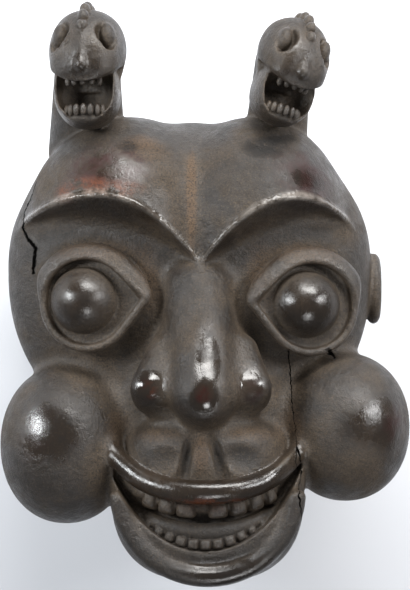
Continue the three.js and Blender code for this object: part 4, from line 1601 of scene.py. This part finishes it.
# Each layer: the colour that it lays over the ones before, how much at most, and the bands
# and places whose product says where.
LAYERS = [
    (OILY, 1.0, [band["oily"]]),
    (SOOT_AND_SHADE, 0.6, [band["sooty"]]),
    (SOOT_AND_SHADE, 0.5, [band["streaks"]]),
    (DUST, 0.45, [dusty, band["grainy"], dull]),
    (TAN, 0.8, [place["tan_dust"], band["grainy"]]),
    # Painted shade and darker colour, from the listed dark patches.
    (SOOT_AND_SHADE, 0.7, [place["soot_and_painted_shade"]]),
    (MAROON, 1.0, [place["worn_maroon"], band["scuffs"]]),
    (ORANGE, 0.95, [place["worn_orange"], band["broken"], band["grainy"]]),
    (DUST, 0.5, [band["specks"], dull]),
    (SOOT_AND_SHADE, 0.85, [band["pits"], dull]),
    # Painted highlight along convex edges, over the patina worn grey there.
    (RUBBED_AND_HIGHLIGHT, 0.25, [place["high"], band["grainy"]]),
    # Painted highlight along the worn brow rims.
    (BARE_WOOD_AND_HIGHLIGHT, 0.6, [place["worn_rim_and_highlight"], band["scuffs"]]),
    (SOOT_AND_SHADE, 0.95, [place["eroded"], band["broken"]]),
    (CRACK, 1.0, [in_crack]),
]
colour = None
for tone, strength, shares in LAYERS:
    share = shares[0]
    for other in shares[1:]:
        share = add_node(
            tree, "ShaderNodeMath", {"operation": "MULTIPLY"}, {0: share, 1: other}
        ).outputs[0]
    share = add_node(
        tree, "ShaderNodeMath", {"operation": "MULTIPLY", 1: strength}, {0: share}
    ).outputs[0]
    mix = add_node(
        tree,
        "ShaderNodeMix",
        {"data_type": "RGBA", COLOUR_A: PATINA, COLOUR_B: tone},
        {"Factor": share},
    )
    if colour is not None:
        tree.links.new(colour, mix.inputs[COLOUR_A])
    colour = mix.outputs[COLOUR_OUT]
print(len(LAYERS), "layers of colour over the patina")

# %% Gloss
BASE_ROUGHNESS = 0.38
GLOSSIEST, ROUGHEST = 0.09, 0.9
# Each line: what it adds to the roughness, and where.
ROUGHENING = [
    (0.26, dusty),
    (0.22, place["tan_dust"]),
    (0.18, band["scuffs"]),
    (0.25, place["eroded"]),
    (0.6, in_crack),
    (-0.2, place["high"]),
    (-0.40, place["polish"]),
]
roughness = None
for amount, where in ROUGHENING:
    step = add_node(
        tree,
        "ShaderNodeMath",
        {"operation": "MULTIPLY_ADD", 1: amount, 2: BASE_ROUGHNESS},
        {0: where},
    )
    if roughness is not None:
        tree.links.new(roughness, step.inputs[2])
    roughness = step.outputs[0]
roughness = add_node(
    tree,
    "ShaderNodeMapRange",
    {"From Min": GLOSSIEST, "From Max": ROUGHEST, "To Min": GLOSSIEST, "To Max": ROUGHEST},
    {"Value": roughness},
).outputs[0]
print("roughness from", GLOSSIEST, "to", ROUGHEST, "around", BASE_ROUGHNESS)

# %% The knife's marks
# How high each pattern stands, in millimetres, and how much of that is left where polished.
HEIGHTS = [
    (1.0, pattern["mottling"]),
    (0.8, pattern["knife"]),
    (0.5, pattern["grit"]),
    (0.25, pattern["grain"]),
]
LEFT_BY_POLISH = 0.1
# The decayed places and the cracks lie deeper.
DECAY_DEPTH = -2.5
CRACK_DEPTH = -1.8
relief = None
for amount, where in HEIGHTS:
    step = add_node(
        tree, "ShaderNodeMath", {"operation": "MULTIPLY_ADD", 1: amount, 2: 0.0}, {0: where}
    )
    if relief is not None:
        tree.links.new(relief, step.inputs[2])
    relief = step.outputs[0]
unworn = add_node(
    tree, "ShaderNodeMapRange", {"To Min": 1.0, "To Max": LEFT_BY_POLISH}, {"Value": place["polish"]}
)
relief = add_node(
    tree, "ShaderNodeMath", {"operation": "MULTIPLY"}, {0: relief, 1: unworn.outputs[0]}
).outputs[0]
decay = add_node(
    tree, "ShaderNodeMath", {"operation": "MULTIPLY"}, {0: place["eroded"], 1: band["broken"]}
).outputs[0]
for depth, where in ((DECAY_DEPTH, decay), (CRACK_DEPTH, in_crack)):
    relief = add_node(
        tree, "ShaderNodeMath", {"operation": "MULTIPLY_ADD", 1: depth}, {0: where, 2: relief}
    ).outputs[0]
bump = add_node(tree, "ShaderNodeBump", {"Strength": 1.0, "Distance": MM}, {"Height": relief})
print("marks up to", sum(amount for amount, _ in HEIGHTS), "mm high")

# %% The finish put together
# Oiled wood has an IOR of about 1.5. An open crack gives back no light at all, which a surface
# only does as a black metal, so the cracks alone are set metallic.
WOOD_IOR = 1.5
shader = add_node(
    tree,
    "ShaderNodeBsdfPrincipled",
    {"IOR": WOOD_IOR},
    {
        "Base Color": colour,
        "Roughness": roughness,
        "Metallic": in_crack,
        "Normal": bump.outputs[0],
    },
)
add_node(tree, "ShaderNodeOutputMaterial", links={"Surface": shader.outputs[0]})
mask.data.materials.clear()
mask.data.materials.append(wood)
print("wood finish with", len(tree.nodes), "nodes")

# %% [markdown]
# ## The floor
#
# The mask lies on a sheet of matt white card. Its colour is painted a little greyer below the
# chin than at the window's end, as painted shade where the window's light falls off.

# %% White card
# Painted shade: the card's colour darkens towards the chin.
CARD_PAINTED_SHADE, CARD_PAINTED_LIGHT = linear("#d0d2d7"), linear("#e6e8ed")
# Where along Y the card goes from the one to the other, in metres.
CARD_PAINTED_FALLOFF = {"From Min": -0.26, "From Max": 0.12}
CARD_ROUGHNESS = 0.9
card = bpy.data.materials.new("matt_white_card")
card.use_nodes = True
tree = card.node_tree
tree.nodes.clear()
own = add_node(tree, "ShaderNodeTexCoord")
along = add_node(tree, "ShaderNodeSeparateXYZ", links={0: own.outputs["Object"]})
painted_light_share = add_node(tree, "ShaderNodeMapRange", CARD_PAINTED_FALLOFF, {"Value": along.outputs["Y"]})
card_colour = add_node(
    tree,
    "ShaderNodeMix",
    {"data_type": "RGBA", COLOUR_A: CARD_PAINTED_SHADE, COLOUR_B: CARD_PAINTED_LIGHT},
    {"Factor": painted_light_share.outputs[0]},
)
shader = add_node(
    tree,
    "ShaderNodeBsdfPrincipled",
    {"Roughness": CARD_ROUGHNESS},
    {"Base Color": card_colour.outputs[COLOUR_OUT]},
)
add_node(tree, "ShaderNodeOutputMaterial", links={"Surface": shader.outputs[0]})
floor.data.materials.append(card)
print("floor finish:", card.name)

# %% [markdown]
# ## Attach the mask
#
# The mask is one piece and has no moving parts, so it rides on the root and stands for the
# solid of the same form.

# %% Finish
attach(mask, "root")
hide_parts("helmet_mask")
scene_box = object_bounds()
sizes = {
    "cad": [list(corner) for corner in cad_box],
    "visual": [list(corner) for corner in scene_box],
}
print("box of the solid and of the mask:", sizes)
